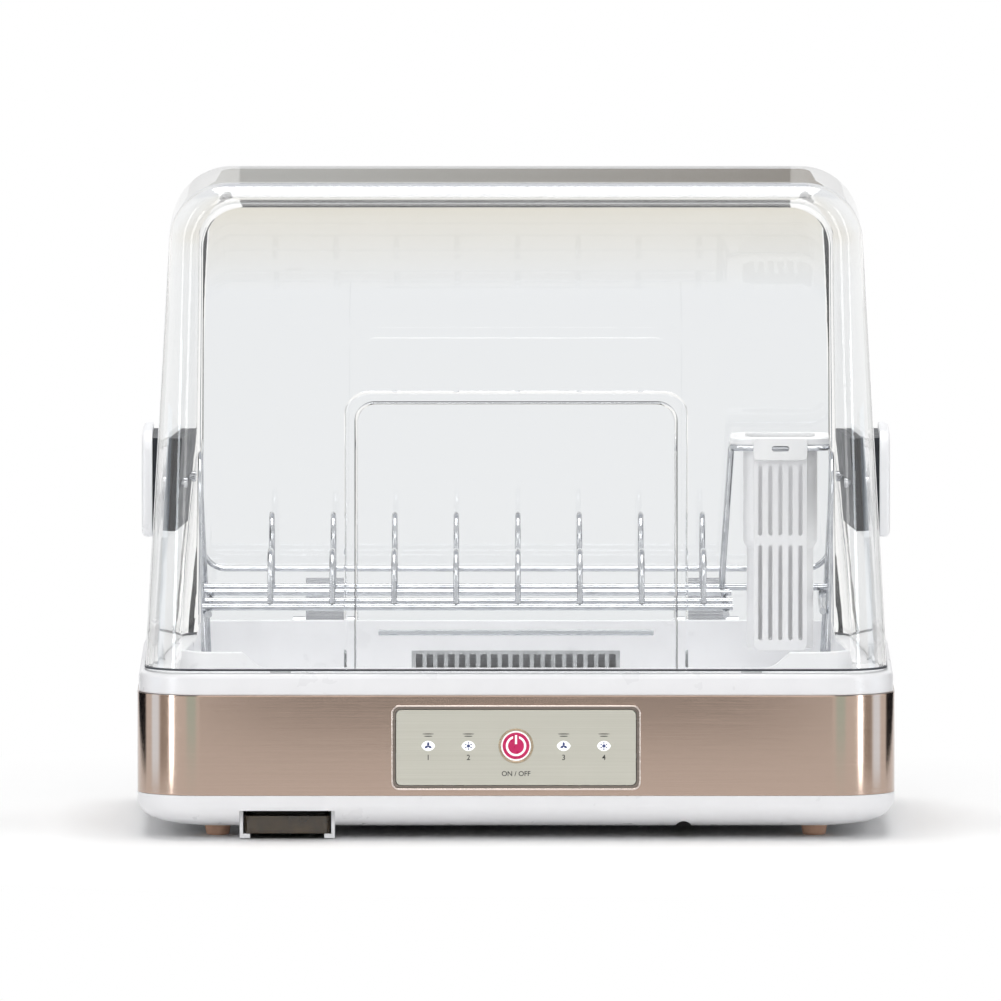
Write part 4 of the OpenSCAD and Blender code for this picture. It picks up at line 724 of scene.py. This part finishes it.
def front_roll(turn, wall):
    # One outline of the roll from the front face (turn 0) to the side and top walls (turn 90 degrees).
    # The inner roll starts earlier than the outer one, so the plastic is thickest in the roll.
    face_x, face_z, far = face_half, face_top, math.sin(turn)
    if wall:
        face_x, face_z = face_half - roll_in, face_top - roll_down
    near_r, far_r, centre = face_corner, shoulder - wall, side_x(shoulder_z) - shoulder
    half = []
    for step in range(12):
        z = lid_foot + (shoulder_z - lid_foot) * step / 12
        half.append(((face_x, z), (side_x(z) - wall, z)))
    for step in range(13):
        angle = math.radians(90 * step / 12)
        near = (face_x - near_r + near_r * math.cos(angle), face_z - near_r + near_r * math.sin(angle))
        away = (centre + far_r * math.cos(angle), shoulder_z + far_r * math.sin(angle))
        half.append((near, away))
    points = []
    for (near_x, near_z), (far_x, far_z) in half:
        depth = math.hypot(far_x - near_x, far_z - near_z) * (1 - math.cos(turn))
        y = lid_front + wall + lean * (near_z - lid_foot) + depth
        points.append((near_x + (far_x - near_x) * far, y, near_z + (far_z - near_z) * far))
    return points


def rear_section(y, wall):
    # One outline of the lid across the plane y, where the top curves down to the rear wall
    behind, tube = max(y - arc_y, 0), shoulder - wall
    most = math.pi / 2 if behind <= tube_path else math.acos(min((behind - tube_path) / tube, 1))
    level = arc_z + math.sqrt(max(tube_path ** 2 - behind ** 2, 0)) if behind <= tube_path else arc_z
    points = []
    for step in range(12):
        z = lid_foot + (level - lid_foot) * step / 12
        corner = foot_corner + (shoulder - foot_corner) * min((z - lid_foot) / (arc_z - lid_foot), 1) - wall
        past = max(y - (lid_rear - wall - corner), 0)
        points.append((side_x(z) - wall - corner + math.sqrt(max(corner ** 2 - past ** 2, 0)), y, z))
    for step in range(13):
        angle = most * (1 - step / 12)
        reach = tube_path + tube * math.cos(angle)
        z = arc_z + math.sqrt(max(reach ** 2 - behind ** 2, 0))
        lower = arc_z + tube_path * min((z - arc_z) / reach, 1)
        points.append((side_x(lower) - shoulder + tube * math.sin(angle), y, z))
    return points


def lid_form(name, wall):
    sections = [front_roll(math.radians(90 * step / 9), wall) for step in range(10)]
    sections += [rear_section(y, wall) for y in (-90, -40, 0)]
    for step in range(21):
        behind = (rear_arc - wall) * math.sin(math.radians(90 * step / 20))
        sections.append(rear_section(arc_y + behind, wall))
    rings = []
    for half in sections:
        if wall:
            half = [(x, y, lid_foot - 2 if z == lid_foot else z) for x, y, z in half]
        rings.append([Vector(point) * mm for point in half + [(-x, y, z) for x, y, z in reversed(half)]])
    return skin(name, rings)


def raised_panel(name, wall):
    inset = raised_inset if wall else 0
    half, high = raised_half - inset, lid_foot + raised_high - inset
    low = lid_foot - (5 if wall else 0)
    panel = block(name, (-half, lid_front + wall - 0.01, low), (half, lid_front + 12, high))
    bpy.ops.object.mode_set(mode="EDIT")
    pick("EDGE", lambda e: e.calc_length() < 15 * mm and e.verts[0].co.z > 0.2)
    bpy.ops.mesh.bevel(offset=(raised_corner - inset / 2) * mm, segments=10, affect="EDGES")
    pick("FACE", lambda f: f.normal.y < -0.9)
    for rise, draw in ((0.5, 0.4), (0.6, 0.8), (0.4, 0.9)):
        bpy.ops.mesh.extrude_region_move(TRANSFORM_OT_translate={"value": (0, -rise * mm, 0)})
        shrink = (1 - draw / half, 1, 1 - draw / raised_high)
        bpy.ops.transform.resize(value=shrink, center_override=(0, 0, lid_foot * mm))
    bpy.ops.mesh.select_all(action="SELECT")
    front_foot = Vector((0, lid_front, lid_foot)) * mm
    bpy.ops.transform.rotate(value=lid_draft, orient_axis="X", center_override=front_foot)
    bpy.ops.object.mode_set(mode="OBJECT")
    return panel


lid = lid_form("clear_lid", 0)
combine(lid, raised_panel("panel", 0), "UNION")
lid_inside = lid_form("inside", lid_wall)
combine(lid_inside, raised_panel("panel inside", lid_wall), "UNION")
combine(lid, lid_inside)
settle(lid, clear, "lid", "clear_plastic", "lid_shell", angle=50)

# Foot strip, painted shadow gap
# A thin dark strip round the lid's foot that fills the gap to the rim. Its dark colour is painted
# shadow for the gap between the lid and the rim.
# dark tones: painted shadow of the gap between lid and rim
gap_shadow_paint = finish("painted gap shadow", moulded, 200, 0.15, tone(46, 48, 54), tone(62, 64, 70), (0.4, 0.55))
strip_low, strip_high, strip_proud, strip_thick = 96.25, 97.5, 0.3, 0.8
strip_profile = ((0, strip_low), (strip_proud, 96.4), (strip_proud, 97.3), (0, strip_high),
                 (-strip_thick, strip_high), (-strip_thick, strip_low))
strip_rings = []
for out, z in strip_profile:
    plan = (lid_half + out, lid_front - out, lid_rear + out, foot_corner + out)
    strip_rings.append(round_plan(*plan, z, steps=12))
strip = skin("gap_shadow_strip", strip_rings, capped=False, looped=True)
settle(strip, gap_shadow_paint, "lid", "soft_pad")

# Finger ledge
# A slim smoked bar welded across the raised panel, to lift the lid by. Its ends and edges are rounded.
ledge_low, ledge_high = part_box("finger_ledge")
ledge = block("ledge_bar", ledge_low / mm, ledge_high / mm)
soften(ledge, 0.9, 4)
settle(ledge, smoke_clear, "lid", "smoke_clear", "finger_ledge")

# Side grips
# White pads with pillowed faces, one on each side of the lid, held by two screws through a dark spacer
# to a backing plate inside the wall.
pad_low, pad_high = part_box("grip_right")
grip_corner, grip_pillow, grip_back_edge = 13, 2.6, 0.8
grip = block("white_grip_right", pad_low / mm, pad_high / mm)
bpy.ops.object.mode_set(mode="EDIT")
pick("EDGE", lambda e: abs(e.verts[0].co.x - e.verts[1].co.x) > mm)
bpy.ops.mesh.bevel(offset=grip_corner * mm, segments=8, affect="EDGES")
pick("FACE", lambda f: f.normal.x > 0.9)
bpy.ops.mesh.bevel(offset=grip_pillow * mm, segments=5, affect="EDGES")
pick("FACE", lambda f: f.normal.x < -0.9)
bpy.ops.mesh.bevel(offset=grip_back_edge * mm, segments=3, affect="EDGES")
bpy.ops.object.mode_set(mode="OBJECT")
other = copied(grip, (0, 0, 0))
other.name = "white_grip_left"
bpy.ops.object.mode_set(mode="EDIT")
bpy.ops.mesh.select_all(action="SELECT")
bpy.ops.transform.resize(value=(-1, 1, 1), center_override=(0, 0, 0))
bpy.ops.mesh.normals_make_consistent(inside=False)
bpy.ops.object.mode_set(mode="OBJECT")
settle(grip, case_white, "lid", "white_plastic", "grip_right")
settle(other, case_white, "lid", "white_plastic", "grip_left")

# Floor, light and camera
# A wide pale floor that keeps the shadow near the object and turns plain white farther out, a white
# surround, soft lamps, and dark and pale cards that only mirrors and clear plastic see.
bpy.ops.object.select_all(action="DESELECT")
bpy.ops.mesh.primitive_plane_add(size=80)
floor = bpy.context.object
floor.name = "floor"
paper = bpy.data.materials.new("pale paper")
paper.use_nodes = True
tree = paper.node_tree
make, link = tree.nodes.new, tree.links.new
surface = tree.nodes["Principled BSDF"]
surface.inputs["Base Color"].default_value = (0.9, 0.9, 0.9, 1)
surface.inputs["Roughness"].default_value = 0.55
place, length, far = make("ShaderNodeTexCoord"), make("ShaderNodeVectorMath"), make("ShaderNodeMapRange")
white_far, blend = make("ShaderNodeEmission"), make("ShaderNodeMixShader")
length.operation = "LENGTH"
far.interpolation_type = "SMOOTHSTEP"
far.inputs["From Min"].default_value = 0.22
far.inputs["From Max"].default_value = 0.55
link(place.outputs["Object"], length.inputs[0])
link(length.outputs["Value"], far.inputs["Value"])
link(far.outputs["Result"], blend.inputs["Fac"])
link(surface.outputs["BSDF"], blend.inputs[1])
link(white_far.outputs["Emission"], blend.inputs[2])
link(blend.outputs["Shader"], tree.nodes["Material Output"].inputs["Surface"])
floor.data.materials.append(paper)

world = bpy.data.worlds.new("white surround")
bpy.context.scene.world = world
world.use_nodes = True
tree = world.node_tree
make, link = tree.nodes.new, tree.links.new
sky, path, level = tree.nodes["Background"], make("ShaderNodeLightPath"), make("ShaderNodeMapRange")
seen, clear_seen, glossy_share = make("ShaderNodeMath"), make("ShaderNodeMath"), make("ShaderNodeMath")
sky.inputs["Color"].default_value = (1, 1, 1, 1)
seen.operation = "MAXIMUM"
clear_seen.operation = "MAXIMUM"
glossy_share.operation = "MULTIPLY"
glossy_share.inputs[1].default_value = 0.8
level.inputs["To Min"].default_value = 0.33
level.inputs["To Max"].default_value = 1.0
link(path.outputs["Is Camera Ray"], seen.inputs[0])
link(path.outputs["Is Transmission Ray"], seen.inputs[1])
link(path.outputs["Is Glossy Ray"], glossy_share.inputs[0])
link(seen.outputs["Value"], clear_seen.inputs[0])
link(glossy_share.outputs["Value"], clear_seen.inputs[1])
link(clear_seen.outputs["Value"], level.inputs["Value"])
link(level.outputs["Result"], sky.inputs["Strength"])


def lamp(name, place, aim, width, height, power):
    bpy.ops.object.light_add(type="AREA", location=place)
    light = bpy.context.object
    light.name = name
    light.data.shape = "RECTANGLE"
    light.data.size, light.data.size_y = width, height
    light.data.energy = power
    light.rotation_euler = (Vector(aim) - Vector(place)).to_track_quat("-Z", "Y").to_euler()


lamp("top softbox", (0, 0.15, 2.2), (0, -0.05, 0.1), 1.8, 1.4, 38)
lamp("front softbox", (0, -2.6, 1.5), (0, 0, 0.15), 1.8, 1.0, 17)
lamp("left strip", (-1.5, -1.05, 0.7), (0, -0.1, 0.2), 0.2, 1.6, 5)
lamp("right strip", (1.5, -1.05, 0.7), (0, -0.1, 0.2), 0.2, 1.6, 5)


def card(name, low, high, colour, far_colour=None, axis="Z", start=0.6):
    piece = block(name, Vector(low) / mm, Vector(high) / mm)
    shade = bpy.data.materials.new(name)
    shade.use_nodes = True
    make, link = shade.node_tree.nodes.new, shade.node_tree.links.new
    glow, place, split = make("ShaderNodeEmission"), make("ShaderNodeTexCoord"), make("ShaderNodeSeparateXYZ")
    climb, ramp = make("ShaderNodeMapRange"), make("ShaderNodeValToRGB")
    climb.inputs["From Min"].default_value = low["XYZ".index(axis)]
    climb.inputs["From Max"].default_value = high["XYZ".index(axis)]
    ramp.color_ramp.elements[0].position = start
    ramp.color_ramp.elements[0].color = colour
    ramp.color_ramp.elements[1].color = far_colour or colour
    link(place.outputs["Object"], split.inputs["Vector"])
    link(split.outputs[axis], climb.inputs["Value"])
    link(climb.outputs["Result"], ramp.inputs["Fac"])
    link(ramp.outputs["Color"], glow.inputs["Color"])
    link(glow.outputs["Emission"], shade.node_tree.nodes["Material Output"].inputs["Surface"])
    piece.data.materials.append(shade)
    piece.visible_camera = False
    piece.visible_diffuse = False
    piece.visible_shadow = False
    return piece


black, brown, grey = (0.01, 0.01, 0.012, 1), (0.22, 0.18, 0.14, 1), (0.14, 0.16, 0.2, 1)
haze, cream, ash = (0.84, 0.86, 0.885, 1), (0.74, 0.71, 0.63, 1), (0.6, 0.6, 0.58, 1)
line_card = card("rear line card", (-0.166, 0.9, 0.31), (0.166, 0.91, 0.465), black)
line_card.visible_glossy = False
seen_through = [card("rear haze card", (-0.197, 0.9, 0), (0.197, 0.91, 0.3095), haze, cream, start=0.8),
                line_card,
                card("rear pale card", (-0.6, 0.9, 0.47), (0.6, 0.91, 2.0), (0.66, 0.68, 0.72, 1))]
mirrored = [card("rear brown card", (-0.4, 0.88, 0.42), (0.4, 0.89, 0.46), ash, brown, "X", 0.25),
            card("front dusk card", (-0.18, -1.0, 0), (0.18, -0.99, 0.034), (0.33, 0.33, 0.33, 1))]
side_cards = (
    ("rear thin", (0.199, 0.9, 0), (0.216, 0.91, 0.31), black),
    ("rear grey", (0.247, 0.9, 0), (0.262, 0.91, 0.31), grey),
    ("rear dark", (0.306, 0.9, 0), (0.33, 0.91, 0.15), black),
    ("dark side", (0.62, 0.1, 0), (0.63, 0.85, 0.3), black),
    ("pale side", (0.62, -0.2, 0), (0.63, -0.06, 0.25), (1.3, 1.6, 1.9, 1)),
    ("brown side", (0.62, -0.4, 0), (0.63, -0.22, 0.25), (0.5, 0.46, 0.42, 1)),
    ("sage front", (0.27, -0.75, 0), (0.47, -0.74, 0.1), (0.75, 0.98, 0.95, 1)),
    ("front flag", (0.25, -0.75, 0.11), (1.0, -0.74, 0.6), (0.1, 0.11, 0.13, 1)),
    ("bright strip", (0.56, -0.44, 0), (0.62, -0.41, 0.3), (9, 9.6, 10, 1)))
for side in (-1, 1):
    for name, near, far, colour in side_cards:
        low = near if side > 0 else (-far[0], near[1], near[2])
        high = far if side > 0 else (-near[0], far[1], far[2])
        group = seen_through if name.startswith("rear") else mirrored
        group.append(card(name + (" right" if side > 0 else " left"), low, high, colour))
for piece in mirrored:
    piece.visible_transmission = False

bpy.ops.object.camera_add()
camera = bpy.context.object
bpy.context.scene.camera = camera
camera.data.sensor_width = 36
camera.data.lens = 1016
camera.data.clip_end = 200
aim, away = Vector((-0.0088, -0.149, 0.1935)), 16
tilt = math.radians(4.1)
camera.location = aim + away * Vector((0, -math.cos(tilt), math.sin(tilt)))
camera.rotation_euler = (math.pi / 2 - tilt, 0, 0)
bpy.context.scene.view_settings.view_transform = "Standard"
